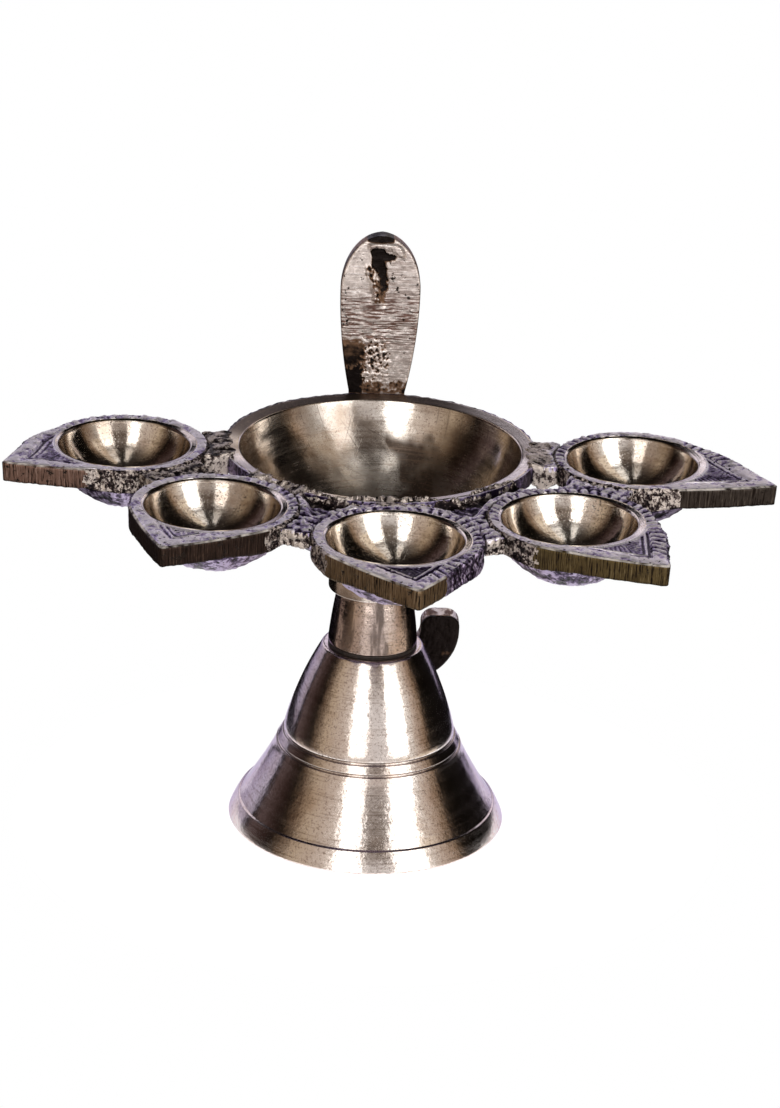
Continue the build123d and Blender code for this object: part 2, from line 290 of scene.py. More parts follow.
def turned_metal(name, pale, stained, lines_per_mm, relief, waviness, roughnesses, pit_amount, spread,
                 grazing, scratch_amount=0.0, drip_amount=0.0, soot_amount=0.0):
    """Turned white brass: pale, with tool rings, grain, stains and specks, and dirt in its grooves."""
    material, tree, shader = new_material(name)
    where = object_place(tree)
    rings = use(tree, lathe_lines, {"Lines per mm": lines_per_mm})
    specks = use(tree, pits, {"Scale": SPECK_SCALE, "Amount": pit_amount}).outputs["Mask"]
    cuts = use(tree, scratches, {"Amount": scratch_amount}).outputs["Mask"]
    grain = speckle(tree, where, GRAIN_SCALE, 3.0, 0.7)
    waves = speckle(tree, where, WAVE_SCALE, 2.0, 0.6)
    runs = speckle(tree, stretch(tree, marked(tree, "turning", "Vector"), (2.3, 2.3, 0.06)), 1.0, 3.0, 0.6)
    stain = ease_range(tree, speckle(tree, where, STAIN_SCALE, 4.0, 0.65), 0.42, 0.75)
    darkening = ease_range(tree, speckle(tree, where, SOOT_SCALE, 4.0, 0.6), 0.48, 0.62, 0.0, soot_amount)
    # The attribute holds a painted dark reflection on the back of the bowl's land and darkening in its dish,
    # in the soot's tone
    marked_darkening = marked(tree, "darkening")
    base = painted(
        tree,
        pale,
        (stain, 0.8, stained),
        (work(tree, "MAXIMUM", darkening, marked_darkening), 1.0, SOOT_AND_DARK_REFLECTION),
        (ease_range(tree, runs, 0.52, 0.62), drip_amount, DRIP),
        (rings.outputs["Streak"], 0.4, STREAK),
        (ease_range(tree, grain, 0.5, 0.7), 0.7, GRAIN),
        (specks, 0.8, SPECK),
        (cuts, 0.5, SCRATCH),
        (marked(tree, "grime_and_shade"), 1.0, GROOVE_DIRT),
    )
    roughness = ease_range(tree, rings.outputs["Height"], 0.8, 1.5, *roughnesses)
    roughness = work(tree, "MULTIPLY_ADD", marked_darkening, 0.2, roughness)
    height = rings.outputs["Height"]
    for mask, rise in ((specks, -0.6), (grain, 0.7), (cuts, -0.8), (waves, waviness / relief)):
        height = work(tree, "MULTIPLY_ADD", mask, rise, height)
    finish_metal(tree, shader, base, roughness, height, relief)
    shader.inputs["Specular Tint"].default_value = grazing
    shader.inputs["Anisotropic"].default_value = spread
    tangent = place(tree, "Tangent", direction_type="UV_MAP", uv_map="turning_map")
    tree.links.new(tangent.outputs["Tangent"], shader.inputs["Tangent"])
    return material


def cast_metal(name, top, middle, groove, roughnesses, pit_amount, grain_scale, contrast):
    """Rough cast brass: pale on the high places and dark in the hollows, by the attribute relief."""
    material, tree, shader = new_material(name)
    where = object_place(tree)
    grain = speckle(tree, where, grain_scale, 4.0, 0.7)
    blotch = speckle(tree, where, grain_scale / 5, 3.0, 0.6)
    level = marked(tree, "relief")
    for spots in (grain, blotch):
        level = work(tree, "MULTIPLY_ADD", work(tree, "SUBTRACT", spots, 0.5), contrast, level)
    holes = use(tree, pinholes, {"Scale": PINHOLE_SCALE, "Amount": pit_amount}).outputs["Mask"]
    base = painted(
        tree,
        top,
        (ease_range(tree, level, 0.05, -0.35), 1.0, middle),
        (ease_range(tree, level, -0.3, -0.75), 1.0, groove),
        (holes, 1.0, PINHOLE),
    )
    roughness = ease_range(tree, blotch, 0.3, 0.7, *roughnesses)
    height = work(tree, "MULTIPLY_ADD", holes, -0.9, work(tree, "MULTIPLY_ADD", blotch, 1.5, grain))
    finish_metal(tree, shader, base, roughness, height, CAST_RELIEF, metallic=0.75)
    shader.inputs["Specular IOR Level"].default_value = 0.15
    return material


def filed_metal(name, stroke_scale, pale, bright, line, relief, roughnesses, pit_amount, blotch_amount,
                metallic, on_edge=False, stroke_level=0.49):
    """Filed brass: parallel strokes, dark in the cuts, which on an edge follow the attribute turning."""
    material, tree, shader = new_material(name)
    where = object_place(tree)
    along = marked(tree, "turning", "Vector") if on_edge else where
    strokes = use(tree, file_strokes, {"Vector": stretch(tree, along, stroke_scale), "Level": stroke_level})
    blotch = speckle(tree, where, BLOTCH_SCALE, 4.0, 0.65)
    wear = marked(tree, "wear")
    rough_share = work(tree, "SUBTRACT", 1.0, marked(tree, "smooth"))
    specks = use(tree, pits, {"Scale": FILED_SPECK_SCALE, "Amount": pit_amount}).outputs["Mask"]
    # Grime and painted shade from the mesh's own attribute, broken up by blotches
    grime_and_shade = work(tree, "MULTIPLY_ADD", work(tree, "SUBTRACT", blotch, 0.5), 0.7, marked(tree, "grime_and_shade"))
    base = painted(
        tree,
        pale,
        (strokes.outputs["Line"], rough_share, line),
        (strokes.outputs["Bright"], 0.6, bright),
        (ease_range(tree, blotch, 0.5, 0.75), blotch_amount, line),
        (wear, 1.0, WORN_BRASS),
        (specks, 1.0, FILED_SPECK),
        (ease_range(tree, grime_and_shade, 0.18, 0.42), 1.0, BROWN_GRIME_AND_SHADE),
        (ease_range(tree, grime_and_shade, 0.40, 0.66), 1.0, BLACK_GRIME_AND_SHADE),
    )
    roughness = ease_range(tree, strokes.outputs["Height"], 0.3, 0.7, *roughnesses)
    height = work(tree, "MULTIPLY_ADD", specks, -0.8, strokes.outputs["Height"])
    if on_edge:
        metallic = work(tree, "MULTIPLY_ADD", wear, -0.7 * metallic, metallic)
    finish_metal(tree, shader, base, roughness, height, relief, metallic)
    shader.inputs["Specular IOR Level"].default_value = 0.1
    return material


def packing_leather():
    """Dark oily leather of the packing washer."""
    material, tree, shader = new_material("packing_leather")
    grain = speckle(tree, object_place(tree), LEATHER_SCALE, 4.0, 0.6)
    oiled, dry = colour(0.012, 0.009, 0.008), colour(0.05, 0.036, 0.028)
    base = tint(tree, ease_range(tree, grain, 0.35, 0.65), oiled, dry)
    roughness = ease_range(tree, grain, 0.3, 0.7, 0.45, 0.75)
    finish_metal(tree, shader, base, roughness, grain, LEATHER_RELIEF, metallic=0.0)
    return material


foot_metal = turned_metal(
    "turned_foot_brass", PALE_BRASS, STAINED_BRASS, lines_per_mm=1.9, relief=0.008, waviness=0.045,
    roughnesses=(0.13, 0.22), pit_amount=0.16, spread=0.3, grazing=GRAZING_LILAC_REFLECTION)
neck_metal = turned_metal(
    "turned_neck_brass", DULL_BRASS, STAINED_BRASS, lines_per_mm=1.9, relief=0.010, waviness=0.045,
    roughnesses=(0.10, 0.20), pit_amount=0.34, spread=0.3, grazing=GRAZING_LILAC_REFLECTION, drip_amount=0.75)
bowl_metal = turned_metal(
    "turned_bowl_brass", OILED_BRASS, BURNT_BRASS, lines_per_mm=1.5, relief=0.006, waviness=0.020,
    roughnesses=(0.13, 0.23), pit_amount=0.10, spread=0.3, grazing=GRAZING_WHITE, scratch_amount=0.8,
    soot_amount=0.5)
cup_metal = turned_metal(
    "turned_cup_brass", OILED_BRASS, BURNT_BRASS, lines_per_mm=2.0, relief=0.010, waviness=0.020,
    roughnesses=(0.08, 0.15), pit_amount=0.22, spread=0.6, grazing=GRAZING_WHITE, scratch_amount=0.3,
    soot_amount=0.35)
leaf_metal = cast_metal(
    "cast_leaf_brass", top=colour(0.98, 0.94, 1.0), middle=colour(0.44, 0.36, 0.61),
    groove=colour(0.030, 0.018, 0.050), roughnesses=(0.28, 0.45), pit_amount=0.50,
    grain_scale=1500.0, contrast=1.5)
# A darker copy of the cast brass, as painted shade on the leaves' undersides, the outsides of their cups and
# the unfiled edges of their unseen sides
shaded_underside_metal = cast_metal(
    "cast_underside_brass_shaded", top=colour(0.58, 0.50, 0.70), middle=colour(0.14, 0.10, 0.19),
    groove=colour(0.012, 0.008, 0.014), roughnesses=(0.35, 0.55), pit_amount=0.45,
    grain_scale=1300.0, contrast=2.4)
crust_metal = cast_metal(
    "braze_crust", top=colour(0.76, 0.68, 0.62), middle=colour(0.10, 0.072, 0.068),
    groove=colour(0.010, 0.007, 0.008), roughnesses=(0.22, 0.45), pit_amount=0.40,
    grain_scale=3300.0, contrast=2.6)
hood_metal = filed_metal(
    "filed_serpent_brass", (300.0, 300.0, 3300.0), pale=colour(0.97, 0.88, 0.83),
    bright=colour(1.0, 0.97, 0.95), line=colour(0.20, 0.115, 0.092), relief=0.06, roughnesses=(0.46, 0.26),
    pit_amount=0.20, blotch_amount=0.45, metallic=0.6, stroke_level=0.555)
leather = packing_leather()


def edge_metal(name, pale, bright):
    """The filed edge of one leaf, with tones of its own as painted light and shade for the way this edge
    faces.
    """
    return filed_metal(
        f"lit_filed_edge_{name}", (95.0, 95.0, 0.35), pale, bright, line=colour(0.014, 0.009, 0.007), relief=0.16,
        roughnesses=(0.52, 0.30), pit_amount=0.24, blotch_amount=0.5, metallic=0.8, on_edge=True)


# Mesh helpers
def rough(point, size, octaves=3):
    """Even noise about zero, with lumps of about this size in millimetres."""
    return noise.fractal(point / size, 0.9, 2.0, octaves)


def eased_step(value, low, high):
    """A value that eases from nothing at low to one at high."""
    share = min(max((value - low) / (high - low), 0.0), 1.0)
    return share * share * (3 - 2 * share)


def between(value, low, high, ease):
    """One inside a range and nothing outside it, eased at both ends."""
    return eased_step(value, low - ease, low + ease) * (1 - eased_step(value, high - ease, high + ease))


def add_object(name, data):
    """Puts an object with this mesh, light or lens into the scene."""
    thing = bpy.data.objects.new(name, data)
    bpy.context.scene.collection.objects.link(thing)
    return thing


def new_piece(name, bm, materials, body, slot, *nodes):
    """Makes a piece from a bmesh in millimetres, riding on a body in place of CAD nodes."""
    bmesh.ops.scale(bm, vec=(MILLIMETRE,) * 3, verts=bm.verts)
    mesh = bpy.data.meshes.new(name)
    for face in bm.faces:
        face.smooth = True
    bm.to_mesh(mesh)
    bm.free()
    for material in materials:
        mesh.materials.append(material)
    piece = add_object(name, mesh)
    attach(piece, body)
    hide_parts(*nodes)


def dish(sphere, centre_height, start_radius, end_radius, steps):
    """Points on the lower half of a sphere's section, from one distance from the axis to another."""
    start, end = asin(start_radius / sphere), asin(end_radius / sphere)
    turns = [start + (end - start) * step / steps for step in range(steps + 1)]
    return [(sphere * sin(turn), centre_height - sphere * cos(turn)) for turn in turns]


def bowed(start, end, bulge, steps):
    """Points from start to end on a shallow arc that stands out to the left of the way by bulge."""
    start, end = Vector(start), Vector(end)
    left = Vector((start.y - end.y, end.x - start.x)).normalized()
    shares = [step / steps for step in range(steps + 1)]
    return [tuple(start.lerp(end, share) + left * (4 * bulge * share * (1 - share))) for share in shares]


def expand(outline):
    """A turned outline with its corners eased. A corner is a radius, a height and how far it is eased."""
    points = []
    for index, (radius, height, *ease) in enumerate(outline):
        corner = Vector((radius, height))
        if not ease:
            points.append(corner)
            continue
        back = Vector(outline[index - 1][:2]) - corner
        ahead = Vector(outline[(index + 1) % len(outline)][:2]) - corner
        reach = min(ease[0], back.length * 0.45, ahead.length * 0.45)
        start, end = corner + back.normalized() * reach, corner + ahead.normalized() * reach
        if back.length > 3 * reach:
            points.append(corner + back.normalized() * 2 * reach)
        for share in (0.0, 0.25, 0.5, 0.75, 1.0):
            points.append(start.lerp(corner, share).lerp(corner.lerp(end, share), share))
        if ahead.length > 3 * reach:
            points.append(corner + ahead.normalized() * 2 * reach)
    return points


def notch(spot, direction):
    """A small round-bottomed groove cut into an outline at a spot, where the outline runs along direction."""
    spot, direction = Vector(spot), Vector(direction).normalized()
    inward = Vector((direction.y, -direction.x))
    edge, wall = direction * groove_half_width, direction * groove_half_width * 0.45
    edge_ease = 0.12
    return [
        (*(spot - edge), edge_ease),
        tuple(spot - wall + inward * groove_depth * 0.8),
        tuple(spot + inward * groove_depth),
        tuple(spot + wall + inward * groove_depth * 0.8),
        (*(spot + edge), edge_ease),
    ]


def mark_turning(bm, along, centre=Vector((0, 0))):
    """Gives each vertex its place on the lathe, and each face corner a map along the tool's way."""
    turning = bm.verts.layers.float_vector.new("turning")
    chart = bm.loops.layers.uv.new("turning_map")
    on_axis = 1e-6
    for vert in bm.verts:
        out = vert.co.xy - centre
        if out.length > on_axis:
            out.normalize()
        vert[turning] = (out.x, out.y, vert[along])
    for face in bm.faces:
        middle = face.calc_center_median().xy - centre
        middle_turn = atan2(middle.y, middle.x)
        for loop in face.loops:
            out = loop.vert.co.xy - centre
            turn = atan2(out.y, out.x) if out.length > on_axis else middle_turn
            turn = middle_turn + (turn - middle_turn + pi) % tau - pi
            loop[chart].uv = (loop.vert[along] * 0.01, turn / tau)


def face_outwards(bm):
    """Points all faces of a closed mesh outwards. Recalculating alone can leave a thin one inside out."""
    bmesh.ops.recalc_face_normals(bm, faces=bm.faces)
    if bm.calc_volume(signed=True) < 0:
        bmesh.ops.reverse_faces(bm, faces=bm.faces)


def turned(outline, steps, closed):
    """Spins an outline round the lamp's axis."""
    bm = bmesh.new()
    along = bm.verts.layers.float.new("along")
    verts = [bm.verts.new((radius, 0, height)) for radius, height in expand(outline)]
    travelled = 0.0
    for before, vert in zip([verts[0], *verts], verts):
        travelled += (vert.co - before.co).length
        vert[along] = travelled
    pairs = list(zip(verts, verts[1:]))
    if closed:
        pairs.append((verts[-1], verts[0]))
    edges = [bm.edges.new(pair) for pair in pairs]
    bmesh.ops.spin(bm, geom=verts + edges, axis=(0, 0, 1), cent=(0, 0, 0), angle=tau, steps=steps,
                   use_merge=True)
    bmesh.ops.remove_doubles(bm, verts=bm.verts, dist=1e-4)
    face_outwards(bm)
    mark_turning(bm, along)
    return bm


def mark_grime(bm, places):
    """Marks the bottoms of turned grooves, given as radius and height, as dirty."""
    grime_and_shade = bm.verts.layers.float.new("grime_and_shade")
    for vert in bm.verts:
        here = Vector((vert.co.xy.length, vert.co.z))
        nearest = min((here - Vector(spot)).length for spot in places)
        vert[grime_and_shade] = 1 - eased_step(nearest, groove_half_width * 0.7, groove_half_width * 1.1)


# Foot: bell with two turned grooves and a stepped lip, hollow underneath
def bell_side(inset):
    """Points down the bell's shoulder and down its flare, set in from the outside."""
    waist = (waist_radius - inset, waist_height)
    shoulder = bowed((shoulder_radius - inset, foot_height), waist, shoulder_bulge, 22)
    flare = bowed(waist, (lip_top_radius - inset, lip_height), -flare_hollow, 22)
    return shoulder, flare


def make_foot():
    shoulder, flare = bell_side(0)
    flare_way = (lip_top_radius - waist_radius, lip_height - waist_height)
    second_groove = Vector(flare[0]).lerp(Vector(flare[-1]), second_groove_place)
    flare_foot, flare_top = lip_height + groove_margin, second_groove.y - groove_margin
    lip = bowed((lip_top_radius + lip_step, lip_height), (foot_radius, lip_break), lip_bulge, 6)
    outside = [
        (thread_hole_radius, foot_height, 0.3),
        (*shoulder[0], 0.5),
        *shoulder[1:-1],
        *notch(flare[0], flare_way),
        *notch(second_groove, flare_way),
        *[point for point in flare if flare_foot < point[1] < flare_top],
        (lip_top_radius, lip_height + 0.15, 0.06),
        (*lip[0], 0.1),
        *lip[1:-1],
        (foot_radius, lip_break, 0.2),
        (foot_radius - lip_break, 0, 0.15),
    ]
    inner_shoulder, inner_flare = bell_side(foot_wall)
    ceiling = foot_height - crown_thickness
    inside = [(foot_radius - foot_wall, 0, 0.3), *reversed(inner_flare)]
    inside += [point for point in reversed(inner_shoulder[1:-1]) if point[1] < ceiling]
    inside += [(inside[-1][0] - 0.4, ceiling, 0.4), (thread_hole_radius, ceiling, 0.3)]
    bm = turned(outside + inside, foot_steps, True)
    mark_grime(bm, [flare[0], second_groove])
    return bm


new_piece("turned_foot", make_foot(), [foot_metal], "foot", "turned_brass", "foot_bell")

# Washer: a soft ring squeezed in the seam
washer_outline = [
    (thread_hole_radius, foot_height, 0.1),
    (washer_radius, foot_height, 0.2),
    (washer_radius, neck_seat, 0.2),
    (thread_hole_radius, neck_seat, 0.1),
]
washer_ring = turned(washer_outline, washer_steps, True)
new_piece("leather_washer", washer_ring, [leather], "packing", "packing", "packing_washer")


# Neck: slightly hollow cone on a threaded spigot
def add_thread(bm, start_height, turns):
    """Winds a screw thread round the spigot, one small ridge swept up a helix."""
    root, crest = thread_radius - thread_depth - 0.1, thread_radius
    half = thread_pitch * 0.46
    section = [(root, -half), (crest, -half * 0.15), (crest, half * 0.15), (root, half)]
    verts = [bm.verts.new((radius, 0, start_height + height)) for radius, height in section]
    edges = [bm.edges.new(pair) for pair in zip(verts, verts[1:] + verts[:1])]
    steps_per_turn = 40
    swept = bmesh.ops.spin(bm, geom=verts + edges, axis=(0, 0, 1), cent=(0, 0, 0), angle=tau * turns,
                           dvec=(0, 0, thread_pitch / steps_per_turn), steps=int(steps_per_turn * turns))
    last = [item for item in swept["geom_last"] if isinstance(item, bmesh.types.BMVert)]
    for end in (verts, last):
        bmesh.ops.contextual_create(bm, geom=end)


def make_neck():
    spigot_foot = foot_height - thread_grip
    spigot_head = boss_top - spigot_gap
    root = thread_radius - thread_depth
    cone_foot, cone_top = (neck_base_radius, neck_seat + neck_end), (neck_top_radius, neck_top - neck_end)
    outline = [
        (0, spigot_foot),
        (root, spigot_foot, 0.5),
        (root, neck_seat, 0.1),
        (neck_base_radius, neck_seat, 0.3),
        *bowed(cone_foot, cone_top, -neck_hollow, 12),
        (neck_top_radius, neck_top, 0.15),
        (thread_radius, neck_top, 0.1),
        (thread_radius, spigot_head, 0.5),
        (0, spigot_head),
    ]
    bm = turned(outline, neck_steps, False)
    add_thread(bm, spigot_foot + thread_start, thread_turns)
    face_outwards(bm)
    return bm


new_piece("turned_neck", make_neck(), [neck_metal], "lamp_top", "turned_brass", "neck")


# Bowl: dish with a sloping land, a rim band and a boss
def make_bowl():
    mouth = bowl_turned_edge - bowl_land
    depth = bowl_depth - bowl_land_drop
    sphere = (mouth**2 + depth**2) / (2 * depth)
    centre = bowl_bottom + sphere
    back = sphere + bowl_wall
    band_foot = rim_height - bowl_rim_band
    back_edge = sqrt(back**2 - (centre - band_foot) ** 2)
    outside = dish(back, centre, back_edge, boss_radius, 30)
    outline = [
        *dish(sphere, centre, 0, mouth, 48)[:-1],
        (mouth, rim_height - bowl_land_drop, 0.25),
        (bowl_turned_edge, rim_height, 0.18),
        (bowl_rim_radius, rim_height, 0.22),
        (bowl_rim_radius, band_foot, 0.35),
        (*outside[0], 0.2),
        *outside[1:-1],
        (*outside[-1], 0.6),
        (boss_radius, neck_top, 0.3),
        (thread_hole_radius, neck_top, 0.2),
        (thread_hole_radius, boss_top, 0.2),
        (0, boss_top),
    ]
    bm = turned(outline, bowl_steps, False)
    roughen_bowl(bm)
    return bm


# Painted dark reflection on the back of the land and darkening in the dish, at their most, with the depths
# from front to back over which the land blackens, and the places to the right over which it pales again
land_dark_reflection, most_dish_darkening = 0.95, 0.97
blackening, paling = (-2.0, 9.0), (12.0, 24.0)


def stays_cast(spot, normal, margin=0.0):
    """Whether a spot on the bowl keeps its cast skin, because it is on the rim's band or on the back."""
    out = spot.xy.length
    on_rim = out > bowl_turned_edge - margin and spot.z > rim_height - bowl_rim_band - 1
    on_back = out > boss_radius and normal.z < -0.1
    return on_rim or on_back


def dish_darkening(spot):
    """How dark a spot inside the bowl is made: most at the bottom, and in a pool to the right."""
    depth = rim_height - spot.z
    ragged = rough(spot, 6.0)
    deep = eased_step(depth + 4.0 * ragged, 6.0, 16.0)
    pool = eased_step(spot.x + 4.0 * ragged, 1.0, 4.5) * eased_step(spot.x + 3.0 * ragged, 17.0, 11.0)
    pool *= eased_step(depth + 3.0 * ragged, 5.5, 9.5)
    darkening = max(0.6 * deep, pool) * (0.95 + 0.4 * rough(spot, 3.0))
    return min(max(darkening, 0.0), most_dish_darkening)


def roughen_bowl(bm):
    """Leaves the bowl's rim and outside as cast, with painted shade on the sides and a painted dark
    reflection at the back, dents and darkens its dish, and paints a dark reflection on the back of its land.
    """
    relief_layer = bm.verts.layers.float.new("relief")
    darkening_layer = bm.verts.layers.float.new("darkening")
    bm.normal_update()
    dish_edge = bowl_turned_edge - bowl_land
    for vert in bm.verts:
        out = vert.co.xy.length
        behind = eased_step(vert.co.y, *blackening) * (1 - 0.7 * eased_step(vert.co.x, *paling))
        faces_up = vert.normal.z > 0.05
        if stays_cast(vert.co, vert.normal, 0.1):
            lump = rough(vert.co, 1.5)
            # Painted shade on the cast sides and underneath, and painted dark reflection towards the back
            vert[relief_layer] = 0.5 * lump - 0.6 * (vert.normal.z < 0.5) - 0.9 * behind
            vert.co -= vert.normal * (cast_skin + cast_lumps * lump)
        elif faces_up and out < dish_edge - 1:
            vert[darkening_layer] = dish_darkening(vert.co)
            vert.co += vert.normal * bowl_dents * rough(vert.co, 9.0, 2)
        elif faces_up and out > dish_edge + 0.05:
            # Painted dark reflection on the back of the land
            vert[darkening_layer] = land_dark_reflection * behind
    for face in bm.faces:
        face.material_index = 1 if stays_cast(face.calc_center_median(), face.normal) else 0


new_piece("turned_bowl", make_bowl(), [bowl_metal, leaf_metal], "lamp_top", "turned_brass", "oil_bowl")

# Leaves: each is one closed skin round its cup, from the middle of the dish over the border to the underside
LEAF_COLUMNS = 560
cup_mouth = cup_radius - cup_land
cup_mouth_height = -lip_drop - cup_land_drop
cup_rise = cup_depth + cup_mouth_height
cup_sphere = (cup_mouth**2 + cup_rise**2) / (2 * cup_rise)
cup_centre = cup_sphere - cup_depth
cup_back = cup_sphere + cup_wall
cup_root = sqrt(cup_back**2 - (cup_centre + leaf_thickness) ** 2)
# Rows of the skin in each stretch of a leaf's section
leaf_rows = {"dish": 30, "land": 5, "field": 26, "wall": 4, "border": 10, "chamfer": 3, "edge": 9, "under": 8,
             "back": 22}
# Finishes of a leaf's skin; the last is the darker copy that paints shade underneath
LEAF_TURNED, LEAF_CAST, LEAF_FILED, LEAF_CRUST, LEAF_SHADED = range(5)
leaf_finish = {"dish": LEAF_TURNED, "land": LEAF_TURNED, "chamfer": LEAF_FILED, "edge": LEAF_FILED,
               "under": LEAF_SHADED, "back": LEAF_SHADED}
hatch_pitch, hatch_depth, hatch_sharpness, hatch_slant = 2.2, 0.45, 2.2, 0.9
# Lines that follow the border inside the tip's field: distance from the border, half width and depth
field_lines = ((0.40, 0.34, 0.22), (1.40, 0.32, 0.18))
ridge_place, ridge_half_width, ridge_height = 0.85, 0.28, 0.3
herringbone_pitch, herringbone_depth = 1.3, 0.22
mouth_shift = Vector((-0.42, 0.38))
edge_swell, edge_swell_turn = 0.6, 0.45
# Way over which the filing ends, and share of the border inside the worn edge
filing_fade, unworn_border = 2.0, 0.85


class LeafPlan:
    """A leaf's outline: a circle drawn out to a rounded point by two long arcs that leave it smoothly."""

    def __init__(self, reach, side_bulge):
        self.side_bulge = side_bulge
        setback = leaf_side_radius - leaf_circle
        self.leaving_turn = acos((leaf_side_radius**2 - setback**2 - reach**2) / (2 * reach * setback))
        self.side_middle = -setback * Vector((cos(self.leaving_turn), sin(self.leaving_turn)))
        tip_out = (Vector((reach, 0)) - self.side_middle).normalized()
        self.tip_middle = reach - leaf_tip_round / tip_out.x
        tip_end = Vector((self.tip_middle, 0)) + tip_out * leaf_tip_round
        self.tip_turn = atan2(tip_end.y, tip_end.x)
        self.tip_travel = self.travel(0.0)

    def side(self, turn):
        """Distance from the cup's axis to the side's arc, and the share of it that runs square to the arc."""
        along = Vector((cos(turn), sin(turn))).dot(self.side_middle)
        square = sqrt(along**2 - self.side_middle.length_squared + leaf_side_radius**2)
        return along + square, square / leaf_side_radius

    def edge(self, turn):
        """Distance from the cup's axis to the leaf's edge."""
        bulged_side = turn * self.side_bulge > 0
        turn = abs(turn)
        if turn < self.tip_turn:
            across = self.tip_middle * sin(turn)
            return self.tip_middle * cos(turn) + sqrt(leaf_tip_round**2 - across**2)
        if turn > self.leaving_turn:
            return leaf_circle
        share = (turn - self.tip_turn) / (self.leaving_turn - self.tip_turn)
        return self.side(turn)[0] + bulged_side * abs(self.side_bulge) * sin(pi * share) ** 2

    def lean(self, turn):
        """How much of a radial distance counts across the border."""
        return self.side(abs(turn))[1] if abs(turn) < self.leaving_turn else 1.0

    def travel(self, turn):
        """Way along the edge from where its side leaves the circle, with the tip on the negative side."""
        turn = abs(turn)
        if turn >= self.leaving_turn:
            return leaf_circle * (turn - self.leaving_turn)
        square = Vector((cos(turn), sin(turn))) * self.side(turn)[0] - self.side_middle
        return leaf_side_radius * (atan2(square.y, square.x) - self.leaving_turn)

    def from_tip(self, turn):
        """Way along the leaf's edge from its tip."""
        return self.travel(turn) - self.tip_travel

    def field_edge(self, turn):
        """Distance from the cup's axis to the border's inner side, or to the cup's lip where no field is."""
        widening = eased_step(self.leaving_turn - abs(turn), -0.1, 0.5)
        width = round_border + (tip_border - round_border) * widening
        return max(self.edge(turn) - width / self.lean(turn), cup_radius)

    def open_field(self, turn):
        """One where the tip's field has room between cup and border, and nothing where it hasn't."""
        return eased_step(self.field_edge(turn) - cup_radius, 0.5, 1.6)


def leaf_section(plan, turn):
    """Ends of the stretches of a leaf's section at this turn from its tip, as radius and height."""
    edge = plan.edge(turn)
    lean = plan.lean(turn)
    field_edge = plan.field_edge(turn)
    swell = 1 - eased_step(abs(abs(turn) - plan.leaving_turn), 0.0, edge_swell_turn)
    mouth, lip = dish_point(1.0), (cup_radius, -lip_drop)
    field_foot = (field_edge, -lip_drop - field_drop * plan.open_field(turn))
    wall_top = (field_edge + field_wall_run / lean, -border_drop)
    border_end = (edge - edge_chamfer / lean, -border_drop)
    edge_top = (edge, -chamfer_drop)
    edge_foot = (edge - edge_draft / lean, -leaf_thickness + 0.1 - edge_swell * swell)
    root = (cup_root, -leaf_thickness)
    return {
        "dish": ((0, -cup_depth), mouth),
        "land": (mouth, lip),
        "field": (lip, (field_edge, -lip_drop)),
        "wall": (field_foot, wall_top),
        "border": (wall_top, border_end),
        "chamfer": (border_end, edge_top),
        "edge": (edge_top, edge_foot),
        "under": (edge_foot, root),
        "back": (root, (0, cup_centre - cup_back)),
    }


def dish_point(share):
    """Radius and height on the cup's round inside, from its bottom to its mouth."""
    turn = asin(cup_mouth / cup_sphere) * share
    return cup_sphere * sin(turn), cup_centre - cup_sphere * cos(turn)


def back_turn(share):
    """Turn from the cup's axis on its round outside, from the leaf's underside to its lowest place."""
    return asin(cup_root / cup_back) * (1 - share)


def section_point(name, share, ends, shift):
    """Radius and height on one stretch of a leaf's section. Shift moves the cup's mouth off its middle."""
    if name == "dish":
        radius, height = dish_point(share)
        return radius * (1 + shift / cup_mouth), height
    if name == "back":
        turn = back_turn(share)
        return cup_back * sin(turn), cup_centre - cup_back * cos(turn)
    (start_radius, start_height), (end_radius, end_height) = ends
    if name == "land":
        start_radius += shift
    radius = start_radius + (end_radius - start_radius) * share
    return radius, start_height + (end_height - start_height) * share


def crest(distance, half_width):
    """One in the middle of a rounded line and nothing beyond its half width."""
    return max(0.0, 1 - (distance / half_width) ** 2)


def wave(way, pitch):
    """A wave between nothing and one along a way."""
    return 0.5 - 0.5 * cos(tau * way / pitch)


def field_relief(plan, turn, radius, where, leaf):
    """Lift and hollowness in the sunk field at a leaf's tip, with its border lines and herringbone."""
    room = plan.open_field(turn)
    from_border = (plan.field_edge(turn) - radius) * plan.lean(turn)
    lip = 1 - eased_step(radius - cup_radius, 0.35, 0.75)
    lift = -field_drop * 0.55
    hollow = -leaf.field_dark * (0.8 + 0.8 * rough(where, 1.6))
    for middle, half_width, depth in field_lines:
        line = crest(from_border - middle, half_width) * leaf.crisp
        lift -= depth * line
        hollow -= 1.1 * line
    ridge = crest(from_border - ridge_place, ridge_half_width) * leaf.crisp
    hollow = hollow * (1 - ridge) + 0.3 * ridge
    lift += ridge_height * ridge
    slanted = plan.travel(turn) + hatch_slant * from_border
    chevron = wave(slanted, herringbone_pitch) * eased_step(from_border, 1.7, 2.2) * leaf.crisp
    lift -= herringbone_depth * chevron
    hollow -= 0.6 * chevron
    return room * (1 - lip) * (lift + 0.08 * rough(where, 0.9)), room * (1 - lip) * hollow + 0.25 * lip


